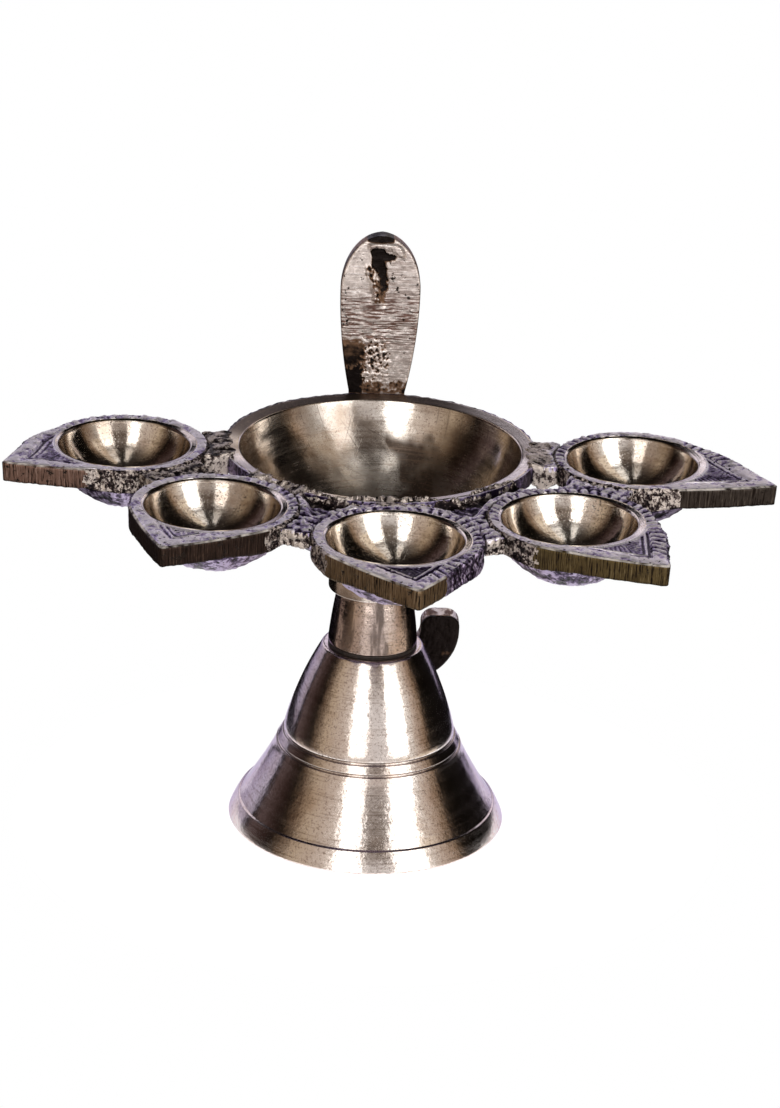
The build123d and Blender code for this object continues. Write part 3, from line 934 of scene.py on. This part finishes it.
def border_relief(plan, turn, radius, where, leaf):
    """Lift and hollowness on a leaf's border, with its hatching and lumps."""
    edge = plan.edge(turn)
    border_share = (edge - radius) / max(edge - plan.field_edge(turn), 0.1)
    slanted = plan.travel(turn) + hatch_slant * border_share + 0.35 * rough(where, 4.0)
    fade = 0.25
    hatched = max(eased_step(turn, low, low + fade) * (1 - eased_step(turn, high - fade, high))
                  for low, high in leaf.hatched)
    cut = wave(slanted, hatch_pitch) ** hatch_sharpness * leaf.crisp * hatched
    cut *= eased_step(border_share, 0.0, 0.3)
    crown = 0.12 * (1 - (2 * border_share - 1) ** 2)
    lump, fine_lump = rough(where, 2.0), rough(where, 0.8)
    lift = crown - hatch_depth * cut + 0.2 * lump + 0.07 * fine_lump
    return lift, 0.10 + 0.6 * lump + 0.3 * fine_lump - cut


def leaf_relief(plan, leaf, name, share, turn, radius, where, filed):
    """Push away from the cup's axis, lift and hollowness of a leaf's skin on one stretch of its section."""
    if name == "field":
        return 0.0, *field_relief(plan, turn, radius, where, leaf)
    if name in ("wall", "border"):
        return 0.0, *border_relief(plan, turn, radius, where, leaf)
    if name in ("chamfer", "edge"):
        crumb = rough(where, 0.5)
        inward = 0.03 * rough(where, 1.4) + (1 - filed) * (0.3 + 0.35 * rough(where, 2.0) + 0.25 * crumb)
        return -inward, 0.0, (0.3 * rough(where, 1.6) + 1.0 * crumb - 0.35) * (1 - filed)
    if name == "under":
        return 0.0, 0.14 * rough(where, 1.3), rough(where, 1.6) * 0.9 - 0.2
    if name == "back":
        swell = 0.25 * rough(where, 2.2) + 0.12 * rough(where, 0.8)
        return swell * sin(back_turn(share)), -swell * (1 - share * 0.3), swell * 3.0 - 0.2
    return 0.0, 0.0, 0.0


def filed_length(leaf, turn):
    """How far from its tip a leaf's edge is filed, on the side shown to the viewer and on the other."""
    shown, other = leaf.filed_lengths
    return shown if turn * leaf.shown_side >= 0 else other


def make_leaf(spot, leaf, seed):
    plan = LeafPlan(leaf.reach, leaf.side_bulge)
    rows_total = sum(leaf_rows.values())
    row_stretch = [(name, step / count) for name, count in leaf_rows.items() for step in range(count)]
    row_stretch.append(("back", 1.0))
    bm = bmesh.new()
    bmesh.ops.create_grid(bm, x_segments=LEAF_COLUMNS, y_segments=rows_total, size=1.0)
    row_layer = bm.verts.layers.int.new("row")
    floats = bm.verts.layers.float
    along, relief_layer, wear_layer = (floats.new(label) for label in ("along", "relief", "wear"))
    heading = radians(leaf.tip_bearing) - pi / 2
    # Each leaf has its own place in the noise
    noise_place = seed * Vector((40, 17, 0))
    sections = {}
    for vert in bm.verts:
        column = round((vert.co.x + 1) / 2 * LEAF_COLUMNS)
        row = round((vert.co.y + 1) / 2 * rows_total)
        turn = tau * (column / LEAF_COLUMNS - 0.5)
        if column not in sections:
            sections[column] = leaf_section(plan, turn)
        name, share = row_stretch[row]
        direction = Vector((cos(turn + heading), sin(turn + heading), 0))
        shift = direction.xy.dot(mouth_shift)
        radius, height = section_point(name, share, sections[column][name], shift)
        where = direction * radius + noise_place + Vector((0, 0, height))
        length = filed_length(leaf, turn)
        filed = 1 - eased_step(plan.from_tip(turn), length, length + filing_fade)
        push, lift, hollow = leaf_relief(plan, leaf, name, share, turn, radius, where, filed)
        vert.co = direction * (radius + push) + Vector((0, 0, height + lift))
        vert[row_layer] = row
        vert[along] = radius if name == "dish" else cup_mouth + row * 0.3
        vert[relief_layer] = hollow
        if name == "chamfer" or (name == "border" and share > unworn_border):
            vert[wear_layer] = max(0.0, min(1.0, 0.7 + 1.2 * rough(where, 2.0))) * filed
    for face in bm.faces:
        name = row_stretch[min(vert[row_layer] for vert in face.verts)][0]
        face.material_index = leaf_finish.get(name, LEAF_CAST)
        if face.material_index == LEAF_FILED:
            middle = face.calc_center_median()
            turn = (atan2(middle.y, middle.x) - heading + pi) % tau - pi
            if plan.from_tip(turn) > filed_length(leaf, turn) + rough(middle, 1.5):
                # Past the filing the seen side is crust, and the other side takes painted shade
                face.material_index = LEAF_CRUST if turn * leaf.shown_side >= 0 else LEAF_SHADED
    bmesh.ops.remove_doubles(bm, verts=bm.verts, dist=2e-3)
    face_outwards(bm)
    mark_turning(bm, along)
    bmesh.ops.translate(bm, vec=spot, verts=bm.verts)
    return bm


class Leaf(NamedTuple):
    """How one leaf is placed and finished. Bearings are in degrees from the front, positive to the right."""

    name: str
    bearing: float
    bowl_gap: float
    tip_bearing: float
    # From the cup's middle to the tip
    reach: float
    # To the right of someone who faces the tip or, if negative, to the left
    side_bulge: float
    # Strength of the ornament, and darkness of the field at the tip
    crisp: float
    field_dark: float
    # Turns from the tip, in radians, between which the border is hatched
    hatched: tuple
    # How far from the tip the edge is filed, on the side that the viewer sees and on the other
    filed_lengths: tuple
    # The seen side: 1 for the right of someone who faces the tip, and -1 for the left
    shown_side: int
    # Filed metal and its bright strokes, painted lighter or darker for the way this leaf's edge faces the
    # light
    edge_light_and_shade: tuple


leaves = (
    Leaf("left_outer", bearing=-86.1, bowl_gap=2.6, tip_bearing=-62.0, reach=26.0, side_bulge=-1.5,
         crisp=0.45, field_dark=0.45, hatched=((-2.4, -0.9),), filed_lengths=(16.0, 6.0), shown_side=1,
         edge_light_and_shade=(colour(0.20, 0.120, 0.092), colour(0.42, 0.30, 0.25))),
    Leaf("left_front", bearing=-42.3, bowl_gap=0.3, tip_bearing=-22.5, reach=24.0, side_bulge=0.0,
         crisp=0.6, field_dark=0.05, hatched=((1.5, 3.2),), filed_lengths=(21.5, 21.5), shown_side=1,
         edge_light_and_shade=(colour(0.040, 0.025, 0.020), colour(0.15, 0.10, 0.075))),
    Leaf("front", bearing=2.3, bowl_gap=2.3, tip_bearing=7.0, reach=25.2, side_bulge=0.0,
         crisp=1.0, field_dark=1.0, hatched=((0.0, 3.4), (-3.4, -2.2)), filed_lengths=(23.0, 9.0),
         shown_side=-1, edge_light_and_shade=(colour(0.22, 0.150, 0.085), colour(0.46, 0.35, 0.24))),
    Leaf("right_front", bearing=42.7, bowl_gap=4.3, tip_bearing=35.5, reach=27.2, side_bulge=0.6,
         crisp=1.0, field_dark=0.25, hatched=((0.0, 3.4), (-3.4, -1.9)), filed_lengths=(25.0, 1.5),
         shown_side=-1, edge_light_and_shade=(colour(0.115, 0.082, 0.036), colour(0.27, 0.21, 0.11))),
    Leaf("right_outer", bearing=83.6, bowl_gap=2.8, tip_bearing=66.0, reach=28.6, side_bulge=0.9,
         crisp=0.9, field_dark=0.3, hatched=((0.2, 1.3), (-3.4, -2.2), (2.4, 3.4)), filed_lengths=(19.5, 3.0),
         shown_side=-1, edge_light_and_shade=(colour(0.050, 0.040, 0.034), colour(0.15, 0.125, 0.105))),
)
leaf_centres = []
for seed, leaf in enumerate(leaves, 1):
    ring = bowl_rim_radius + leaf.bowl_gap + leaf_circle
    bearing = radians(leaf.bearing)
    centre = Vector((ring * sin(bearing), -ring * cos(bearing), rim_height + leaf_lift))
    leaf_centres.append(centre)
    lit_filed_edge = edge_metal(leaf.name, *leaf.edge_light_and_shade)
    leaf_metals = [cup_metal, leaf_metal, lit_filed_edge, crust_metal, shaded_underside_metal]
    new_piece(f"cast_leaf_{leaf.name}", make_leaf(centre, leaf, seed), leaf_metals, "lamp_top", "cast_brass",
              f"leaf_cup_{leaf.name}")


# Webs and bead: the CAD solids, grown into rough braze
crust_hang, crust_voxel = 2.2, 0.3
# Rise of the webs' tops, and depths of their sunk corners and hatching
web_rise, web_sink, web_hatch = 0.6, 1.9, 0.4
lap_rise, lap_reach, lap_lumps = 0.45, 1.3, 1.2
# Bearings over which the front webs end and at which the left outer web starts, and width of bare crust
front_web_ends, left_web_start, crust_width = (radians(62), radians(68)), radians(-58), 2.2


def crusted(node, swell_size, swell, grain_size, grain):
    """A copy of a CAD node, remeshed evenly and roughened. Sizes are in millimetres."""
    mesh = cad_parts[node].data.copy()
    bm = bmesh.new()
    bm.from_mesh(mesh)
    bmesh.ops.remove_doubles(bm, verts=bm.verts, dist=1e-6)
    bm.to_mesh(mesh)
    bm.free()
    blank = add_object(node + "_blank", mesh)
    even = blank.modifiers.new("even", "REMESH")
    even.mode = "VOXEL"
    even.voxel_size = crust_voxel * MILLIMETRE
    ready = blank.evaluated_get(bpy.context.evaluated_depsgraph_get())
    bm = bmesh.new()
    bm.from_mesh(ready.to_mesh())
    ready.to_mesh_clear()
    bpy.data.objects.remove(blank)
    bmesh.ops.scale(bm, vec=(1 / MILLIMETRE,) * 3, verts=bm.verts)
    bmesh.ops.smooth_vert(bm, verts=bm.verts, factor=0.5, use_axis_x=True, use_axis_y=True, use_axis_z=True)
    bm.normal_update()
    relief_layer = bm.verts.layers.float.new("relief")
    for vert in bm.verts:
        lumps = rough(vert.co, swell_size)
        crumbs = rough(vert.co + Vector((31, 7, 3)), grain_size)
        vert[relief_layer] = lumps * 0.5 + crumbs * 0.9
        vert.co += vert.normal * (lumps * swell + crumbs * grain)
    return bm


def shape_webs(bm):
    """Lifts the webs' tops level with the leaves, hatches them round the cups and sinks their corners beside
    the bowl. Beside the bowl they also lap over its rim, and their undersides hang lower."""
    relief_layer = bm.verts.layers.float["relief"]
    centres = [centre.xy for centre in leaf_centres]
    for vert in bm.verts:
        flat = vert.co.xy
        from_bowl = flat.length - bowl_rim_radius
        if vert.normal.z < 0.2:
            hang = (1 - eased_step(from_bowl, 1.5, 5.0)) * eased_step(rim_height - vert.co.z, 1.0, 3.0)
            vert.co.z -= hang * crust_hang * (0.7 + 0.7 * rough(vert.co, 2.5))
            continue
        out = min((flat - centre for centre in centres), key=lambda way: way.length)
        from_leaf = out.length - leaf_circle
        between_front_cups = 1 - eased_step(abs(atan2(flat.x, -flat.y)), *front_web_ends)
        sunk = between_front_cups * eased_step(from_leaf, 0.9, 2.6) * eased_step(from_bowl, 0.0, 0.9)
        sunk *= 1 - eased_step(from_bowl, 7.0, 11.0)
        cut = wave(leaf_circle * atan2(out.y, out.x), hatch_pitch) ** hatch_sharpness
        cut *= eased_step(from_bowl, 6.0, 9.0) * between_front_cups
        vert.co.z += web_rise - web_sink * sunk - web_hatch * cut
        # Painted shade in the sunk corners, and darker in the hatching and on the left
        vert[relief_layer] -= 0.8 * sunk + 0.9 * cut + 0.3 * (flat.x < 0) * (1 - between_front_cups)
        lap = (1 - eased_step(from_bowl, 0.2, 2.2)) * (1 - eased_step(from_leaf, 3.0, 7.0))
        vert.co.z += lap_rise * lap
        vert.co.xy -= flat.normalized() * lap * (lap_reach + lap_lumps * rough(vert.co, 2.5))
    for face in bm.faces:
        middle = face.calc_center_median()
        away = middle.xy.length - bowl_rim_radius + 1.5 * rough(middle, 2.5)
        left_outer_web = middle.x < 0 and atan2(middle.x, -middle.y) < left_web_start
        face.material_index = 0 if away < crust_width or face.normal.z < 0.1 or left_outer_web else 1
    return bm


webs = shape_webs(crusted("braze_webs", swell_size=2.2, swell=0.35, grain_size=0.8, grain=0.22))
new_piece("braze_crust_webs", webs, [crust_metal, leaf_metal], "lamp_top", "braze", "braze_webs")
bead = crusted("handle_bead", swell_size=2.0, swell=0.2, grain_size=0.8, grain=0.2)
new_piece("braze_crust_bead", bead, [crust_metal], "lamp_top", "braze", "handle_bead")

# Serpent: one skin swept from the top of the hood down the body and round the curl to the tail's tip
SERPENT_COLUMNS = 190
# Darkness of the body's dirt, of the painted shade on the tail's front and of the painted shade along the
# hood's sides
body_grime, tail_front_shade, side_shade = 0.22, 0.60, 0.5
cap_rows, hood_rows, body_rows, curl_rows, tail_rows = 48, 90, 120, 76, 30
tail_straight_share = 0.4


def hood_width(height):
    """Half width of the hood and body at a height, below the hood's widest place."""
    if height > rim_height:
        drop = hood_middle - height
        run = hood_middle - rim_height
        gain = hood_half_width - hood_foot_half_width
        arc = (run**2 + gain**2) / (2 * gain)
        return hood_half_width - arc + sqrt(arc**2 - drop**2)
    share = (rim_height - height) / (rim_height - curl_height)
    return hood_foot_half_width + (body_half_width - hood_foot_half_width) * share


def front_line(height):
    """How far back the front of the serpent is, and its thickness, at a height."""
    share = eased_step(height, bend_end - bend_ease, bend_start + bend_ease)
    front = body_front + (handle_front - body_front) * share
    return front, body_thickness + (hood_thickness - body_thickness) * share


def serpent_path():
    """Middle of the front face, direction across, half width, front and thickness, for each row."""
    rows = []
    for step in range(cap_rows):
        turn = pi / 2 * (1 - step / cap_rows)
        height = hood_middle + (hood_top - hood_middle) * sin(turn)
        rows.append((0.0, height, Vector((1, 0)), hood_half_width * cos(turn), *front_line(height)))
    for count, top, foot in ((hood_rows, hood_middle, rim_height), (body_rows, rim_height, curl_height)):
        for step in range(count):
            height = top + (foot - top) * step / count
            rows.append((0.0, height, Vector((1, 0)), hood_width(height), *front_line(height)))
    for step in range(curl_rows):
        turn = pi * step / curl_rows
        across = Vector((cos(turn), sin(turn)))
        middle = Vector((curl_radius, curl_height)) - across * curl_radius
        rows.append((middle.x, middle.y, across, body_half_width, *front_line(curl_height)))
    straight = tail_top - tail_tip_round - curl_height
    for step in range(tail_rows + 1):
        share = step / tail_rows
        if share < tail_straight_share:
            height, width = curl_height + straight * share / tail_straight_share, body_half_width
        else:
            turn = pi / 2 * (share - tail_straight_share) / (1 - tail_straight_share)
            height = curl_height + straight + tail_tip_round * sin(turn)
            width = body_half_width - tail_tip_round + tail_tip_round * cos(turn)
            if step == tail_rows:
                width = 0.0
        rows.append((2 * curl_radius, height, Vector((-1, 0)), width, *front_line(curl_height)))
    return rows


def round_section(share, half_width, thickness):
    """Point on a rounded rectangle's edge: across, and back from the front face."""
    ease = min(serpent_corner, half_width * 0.98, thickness * 0.49)
    wide, deep = half_width - ease, thickness - 2 * ease
    corner = ease * pi / 2
    way = share * (4 * wide + 2 * deep + 4 * corner)
    for length, start, heading, is_corner in (
        (wide, (0, 0), 0, False), (corner, (wide, ease), 0, True),
        (deep, (half_width, ease), 1, False), (corner, (wide, thickness - ease), 1, True),
        (2 * wide, (wide, thickness), 2, False), (corner, (-wide, thickness - ease), 2, True),
        (deep, (-half_width, thickness - ease), 3, False), (corner, (-wide, ease), 3, True),
        (wide, (-wide, 0), 0, False),
    ):
        if way <= length + 1e-9:
            if is_corner:
                turn = way / ease + heading * pi / 2 - pi / 2
                return start[0] + ease * cos(turn), start[1] + ease * sin(turn)
            step = ((1, 0), (0, 1), (-1, 0), (0, -1))[heading]
            return start[0] + step[0] * way, start[1] + step[1] * way
        way -= length
    return 0.0, 0.0


# Marks on the hood's front, painted shadow and painted shade among them: how far they lie below its top, and
# to the right of its middle
cap_drops, mouth_drops, mouth_corner_drops, plate_drops = (-0.5, 1.0), (2.5, 5.2), (3.7, 5.1), (2.0, 10.5)
stem_drops, ridge_drops, lined_drops = (4.0, 14.5), (6.2, 13.6), (12.0, 22.5)
patch_drops, shade_drops, corner_drops, foot_drops = (21.0, 29.5), (21.5, 27.0), (25.0, 28.0), (28.8, 31.0)
cap_sides, brow_sides, mouth_sides, patch_sides = (-2.9, 2.3), (-2.6, 4.3), (-1.9, 0.7), (-2.9, 2.0)
mouth_corner_width = 2.0


def hood_carving(across, height):
    """How far the hood's brow, mouth and throat stand out, how dark its front is there, with painted shadow
    and painted shade as well as dirt, and how smooth it is.
    """
    drop = hood_top - height
    ragged = 0.4 * rough(Vector((across, drop, 4.0)), 1.2) + 0.2 * rough(Vector((across, drop, 6.0)), 0.5)
    crumb = rough(Vector((across, drop, 9.0)), 0.7)
    sparkle = rough(Vector((across, drop, 2.0)), 0.45)
    side = across + ragged
    brow_top = 1.3 + 0.03 * across * across
    brow_foot = 2.4 + 0.11 * max(across, 0.0) ** 2 + ragged
    brow = between(drop, brow_top, brow_foot, 0.25) * between(across, *brow_sides, 0.5)
    # Mouth and throat groove: sunk, and painted dark as the shadow under the brow
    mouth_left, mouth_right = mouth_sides
    mouth_right += mouth_corner_width * between(drop, *mouth_corner_drops, 0.5)
    mouth = between(drop + 0.6 * ragged, *mouth_drops, 0.3) * between(side, mouth_left, mouth_right, 0.25)
    sink = eased_step(drop, 5.5, 9.0)
    stem_middle = -0.6 + 1.1 * sink
    stem_half = 1.3 - 0.45 * sink - 0.35 * eased_step(drop, 9.0, 14.5)
    stem = between(side, stem_middle - stem_half, stem_middle + stem_half, 0.25)
    stem *= between(drop, *stem_drops, 1.5)
    ridge_middle = -2.2 + 1.7 * eased_step(drop, 6.0, 13.0)
    ridge = max(0.0, 1 - abs(side - ridge_middle) / 1.3) * between(drop, *ridge_drops, 0.8)
    patch = between(drop + ragged, *patch_drops, 2.5) * between(across + 3 * ragged, *patch_sides, 1.0)
    top_edge = between(drop + 0.3 * ragged, *cap_drops, 0.12) * between(side, *cap_sides, 0.3)
    # Painted shade low on the hood's left and along its foot beside the bowl's rim
    corner = eased_step(drop + 4 * ragged, *corner_drops) * (1 - eased_step(across + 2 * ragged, -3.6, -2.6))
    shade = 0.60 * between(drop + 2 * ragged, *shade_drops, 1.5)
    shade *= 1 - eased_step(across + 2 * ragged, -3.4, -2.2)
    foot_shade = 0.60 * eased_step(drop + 3 * ragged, *foot_drops)
    fading = 1 - 0.6 * eased_step(drop, 7.5, 14.0)
    grime_and_shade = max(mouth, stem * (0.95 + 0.3 * crumb) * fading, ridge * (0.5 - 1.1 * crumb), top_edge, corner,
                shade, foot_shade * (0.8 + 0.5 * crumb), patch * (0.22 - 1.5 * sparkle))
    lift = 1.0 * brow + ridge * (0.6 + 0.9 * crumb) - 0.8 * max(mouth, stem * fading) + 0.5 * patch * sparkle
    plate = between(drop, *plate_drops, 1.2) * (1 - eased_step(side, -2.4, -1.6))
    lined = 0.45 + 0.55 * between(drop + 2 * ragged, *lined_drops, 2.0)
    return lift, grime_and_shade, 1 - lined * (1 - plate)


def make_serpent():
    path = serpent_path()
    rows_total = len(path) - 1
    bm = bmesh.new()
    bmesh.ops.create_grid(bm, x_segments=SERPENT_COLUMNS, y_segments=rows_total, size=1.0)
    grime_and_shade_layer = bm.verts.layers.float.new("grime_and_shade")
    smooth_layer = bm.verts.layers.float.new("smooth")
    for vert in bm.verts:
        share = (vert.co.x + 1) / 2
        row = round((vert.co.y + 1) / 2 * rows_total)
        middle_x, middle_z, across_way, half_width, front, thickness = path[row]
        across, back = round_section(share, half_width, thickness)
        here = Vector((middle_x + across_way.x * across, 0, middle_z + across_way.y * across))
        facing = eased_step(back, 1.2, 0.3)
        where = Vector((here.x, back, here.z))
        grain = 0.10 * rough(where, 1.6) + 0.05 * rough(where, 0.6)
        patchy_grime = body_grime + 0.25 * rough(where, 2.0)
        lift = 0.0
        if here.z > rim_height:
            lift, grime_and_shade, vert[smooth_layer] = hood_carving(here.x, here.z)
            lift *= facing * eased_step(half_width - abs(across), 0.4, 1.3)
            # Darker at the hood's top, painted shade along its sides, and dirt on its back
            top_cap = between(here.x, *cap_sides, 0.4) * eased_step(hood_top - here.z, 1.6, 0.9)
            rear = eased_step(back, thickness - 1.0, thickness)
            edge_shade = side_shade * eased_step(back, 0.1, 0.35) * (1 - rear)
            grime_and_shade = max(grime_and_shade * facing, edge_shade + patchy_grime * rear, top_cap)
        else:
            on_tail = here.x > curl_radius
            # Dirt on the body, and painted shade on the front of the tail
            grime_and_shade = patchy_grime + tail_front_shade * on_tail * facing
        if back > thickness / 2:
            grain = 0.2 - abs(grain)
        here.y = front + back - lift - grain
        vert.co = here
        vert[grime_and_shade_layer] = grime_and_shade
    bmesh.ops.remove_doubles(bm, verts=bm.verts, dist=2e-3)
    face_outwards(bm)
    return bm


new_piece("cast_serpent", make_serpent(), [hood_metal], "lamp_top", "cast_brass", "serpent_handle")

# Floor, surroundings and light, in metres and degrees
STAGE_MIDDLE = Vector((0, 0, 0.06))
room_distance, wall_distance, screen_distance, top_distance = 2.4, 2.2, 2.0, 1.25
floor_radius, floor_drop, floor_light = 0.07, 0.0002, 0.85


def outward(bearing, elevation):
    """The way from the lamp at this bearing from the front and this elevation."""
    turn, rise = radians(bearing), radians(elevation)
    return Vector((sin(turn) * cos(rise), -cos(turn) * cos(rise), sin(rise)))


def new_stage(name, bm, material, seen):
    """A thing that belongs to the surroundings, and that the camera may see or not."""
    mesh = bpy.data.meshes.new(name)
    bm.to_mesh(mesh)
    bm.free()
    mesh.materials.append(material)
    thing = add_object(name, mesh)
    thing.visible_camera = seen


def curved_wall(bearings, elevations, distance, steps=48):
    """Part of a sphere round the lamp."""
    bm = bmesh.new()
    low, high = elevations
    rises = [low + (high - low) * step / steps for step in range(steps + 1)]
    verts = [bm.verts.new(STAGE_MIDDLE + distance * outward(bearings[0], rise)) for rise in rises]
    edges = [bm.edges.new(pair) for pair in zip(verts, verts[1:])]
    bmesh.ops.spin(bm, geom=verts + edges, axis=(0, 0, 1), cent=(0, 0, 0),
                   angle=radians(bearings[1] - bearings[0]), steps=steps)
    return bm


def bare_material(name):
    """A material with no nodes but its output."""
    material = bpy.data.materials.new(name)
    material.use_nodes = True
    tree = material.node_tree
    tree.nodes.clear()
    return material, tree, place(tree, "OutputMaterial")


def glow(name, tone):
    """A plain self-lit material for the surroundings."""
    material, tree, out = bare_material(name)
    light = place(tree, "Emission", {"Color": tone, "Strength": 1.0})
    tree.links.new(light.outputs[0], out.inputs["Surface"])
    return material, tree, light


def in_sight(tree):
    """One for rays from the camera, off a mirror or through something clear, and nothing for the rest."""
    path = place(tree, "LightPath").outputs
    seen = work(tree, "MAXIMUM", path["Is Camera Ray"], path["Is Glossy Ray"])
    return work(tree, "MAXIMUM", seen, path["Is Transmission Ray"])


# Walls and cards round the lamp, and the tops of the two soft boxes: bearings, elevations, distance and tone
DARK, LOW_TAN, CREAM = colour(0.005, 0.004, 0.0035), colour(0.42, 0.34, 0.29), colour(0.78, 0.66, 0.53)
LOW_LILAC, BRIGHT_LILAC = colour(0.50, 0.46, 0.58), colour(0.95, 0.88, 1.0)
CARD_WHITE, BOX_WHITE = colour(0.86, 0.81, 0.79), colour(1.0, 0.97, 0.93)
walls = {
    "dark_room": ((-180, 180), (-75, 90), room_distance, DARK),
    "back_wall_low": ((138, 238), (-10, 12), wall_distance, LOW_LILAC),
    "back_wall_right": ((144, 163), (12, 37), wall_distance, BRIGHT_LILAC),
    "back_wall_cream": ((163, 174), (12, 31), wall_distance, CREAM),
    "back_wall_middle": ((174, 183), (12, 37), wall_distance, BRIGHT_LILAC),
    "back_wall_left": ((192, 225), (12, 37), wall_distance, BRIGHT_LILAC),
    "front_card": ((-32, 36), (-48, -12), wall_distance, CARD_WHITE),
    "low_card_left": ((-112, -34), (-30, -5), wall_distance, LOW_TAN),
    "low_card_right": ((38, 100), (-30, -5), wall_distance, CREAM),
    "soft_box_left_top": ((-27, -6), (56, 79), top_distance, BOX_WHITE),
    "soft_box_right_top": ((25, 52), (56, 79), top_distance, BOX_WHITE),
    "cream_card_top": ((52, 72), (30, 80), top_distance, CREAM),
}
for name, (bearings, elevations, distance, tone) in walls.items():
    new_stage(name, curved_wall(bearings, elevations, distance), glow(name, tone)[0], False)

# Screen round the front of the lamp: its tone at each bearing, at its low middle and at its top
screen_tones = {
    -116: colour(0.12, 0.085, 0.085),
    -98: colour(0.035, 0.020, 0.017),
    -86: colour(0.004, 0.003, 0.002),
    -76: colour(0.14, 0.095, 0.065),
    -64: colour(0.46, 0.36, 0.26),
    -41: colour(0.55, 0.46, 0.40),
    -28: colour(0.66, 0.58, 0.52),
    -20: colour(0.90, 0.84, 0.78),
    -5: colour(0.22, 0.18, 0.155),
    24: colour(0.22, 0.18, 0.155),
    30: colour(0.92, 0.88, 0.84),
    46: colour(0.95, 0.91, 0.87),
    55: colour(0.78, 0.74, 0.70),
    66: colour(0.55, 0.45, 0.38),
    79: colour(0.28, 0.19, 0.125),
    87: colour(0.004, 0.003, 0.002),
    108: colour(0.002, 0.0015, 0.001),
}
SCREEN_PALE, SCREEN_DUSK = colour(0.68, 0.64, 0.63), colour(0.012, 0.009, 0.008)
# Elevations of the screen, of the end of its pale low middle and of its dusk, and bearings of the pale sides
screen_rises, pale_rises, dusk_rises = (-12, 86), (34, 20), (38, 80)
pale_sides = ((-14, -6), (30, 22))


def make_screen():
    left, right = min(screen_tones), max(screen_tones)
    material, tree, light = glow("studio_screen", SCREEN_PALE)
    apart = place(tree, "SeparateXYZ", {0: object_place(tree)})
    turn = work(tree, "ARCTAN2", apart.outputs[0], work(tree, "MULTIPLY", apart.outputs[1], -1.0))
    rise = work(tree, "DIVIDE", apart.outputs[2], screen_distance)
    ends = {"Value": turn, "From Min": radians(left), "From Max": radians(right)}
    ramp = place(tree, "ValToRGB", {0: place(tree, "MapRange", ends).outputs["Result"]})
    stops = ramp.color_ramp.elements
    for index, (bearing, tone) in enumerate(screen_tones.items()):
        share = (bearing - left) / (right - left)
        stop = stops[index] if index < 2 else stops.new(share)
        stop.position = share
        stop.color = tone
    pale, dusk = (ease_range(tree, rise, sin(radians(start)), sin(radians(end)))
                  for start, end in (pale_rises, dusk_rises))
    for outside, inside in pale_sides:
        pale = work(tree, "MULTIPLY", pale, ease_range(tree, turn, radians(outside), radians(inside)))
    coats = ((pale, 1.0, SCREEN_PALE), (dusk, 0.95, SCREEN_DUSK))
    tree.links.new(painted(tree, ramp.outputs["Color"], *coats), light.inputs["Color"])
    new_stage("studio_screen", curved_wall((left, right), screen_rises, screen_distance), material, False)


def make_floor():
    """A pale table top that keeps the lamp's shadow."""
    material, tree, out = bare_material("pale_table")
    paint = place(tree, "BsdfDiffuse", {"Color": colour(0.85, 0.85, 0.86)})
    strength = work(tree, "MULTIPLY", in_sight(tree), floor_light)
    light = place(tree, "Emission", {"Color": colour(1, 1, 1), "Strength": strength})
    both = place(tree, "AddShader", {0: paint.outputs[0], 1: light.outputs[0]})
    tree.links.new(both.outputs[0], out.inputs["Surface"])
    bm = bmesh.new()
    bmesh.ops.create_circle(bm, cap_ends=True, segments=96, radius=floor_radius)
    bmesh.ops.translate(bm, vec=(0, 0, -floor_drop), verts=bm.verts)
    new_stage("floor", bm, material, True)


def soft_box(name, bearing, width, height=2.05, brightness=2.0, distance=1.3):
    """An upright soft box beside the camera. Brightness is what a white mirror would show of it."""
    lamp = bpy.data.lights.new(name, "AREA")
    lamp.shape = "RECTANGLE"
    lamp.size, lamp.size_y = width, height
    lamp.energy = brightness * pi * width * height
    box = add_object(name, lamp)
    out = outward(bearing, 0)
    box.location = out * distance + Vector((0, 0, height / 2))
    box.rotation_euler = out.to_track_quat("Z", "Y").to_euler()
    box.visible_camera = False


def make_world():
    """White where it is seen, and a dim even light otherwise."""
    world = bpy.data.worlds.new("studio")
    bpy.context.scene.world = world
    world.use_nodes = True
    sky = world.node_tree
    sky.nodes.clear()
    tone = tint(sky, in_sight(sky), colour(0.42, 0.41, 0.44), colour(1, 1, 1))
    light = place(sky, "Background", {"Color": tone, "Strength": 1.0})
    sky.links.new(light.outputs[0], place(sky, "OutputWorld").inputs["Surface"])


make_screen()
make_floor()
soft_box("soft_box_left", bearing=-16, width=0.52)
soft_box("soft_box_right", bearing=38, width=0.64)
make_world()

# Camera at the photograph's viewing angle: bearing, elevation and roll, with the point it looks at
camera_bearing, camera_elevation, camera_roll = -2.5, 22.03, 2.445
camera_distance, camera_focal_pixels, picture_height = 0.6918, 3563.5, 1108
camera_aim_right, camera_aim_height = 0.002712, 0.055891
back = outward(camera_bearing, camera_elevation)
level_right = (-back).cross(Vector((0, 0, 1))).normalized()
level_up = level_right.cross(-back)
roll = radians(camera_roll)
picture_right = level_right * cos(roll) + level_up * sin(roll)
picture_up = level_up * cos(roll) - level_right * sin(roll)
lens = bpy.data.cameras.new("camera")
lens.sensor_width = 36.0
lens.lens = camera_focal_pixels * lens.sensor_width / picture_height
lens.clip_start = 0.01
camera = add_object("camera", lens)
eye = picture_right * camera_aim_right + Vector((0, 0, camera_aim_height)) + back * camera_distance
axes = Matrix((picture_right, picture_up, back)).transposed().to_4x4()
camera.matrix_world = Matrix.Translation(eye) @ axes
bpy.context.scene.camera = camera
bpy.context.scene.view_settings.view_transform = "Standard"
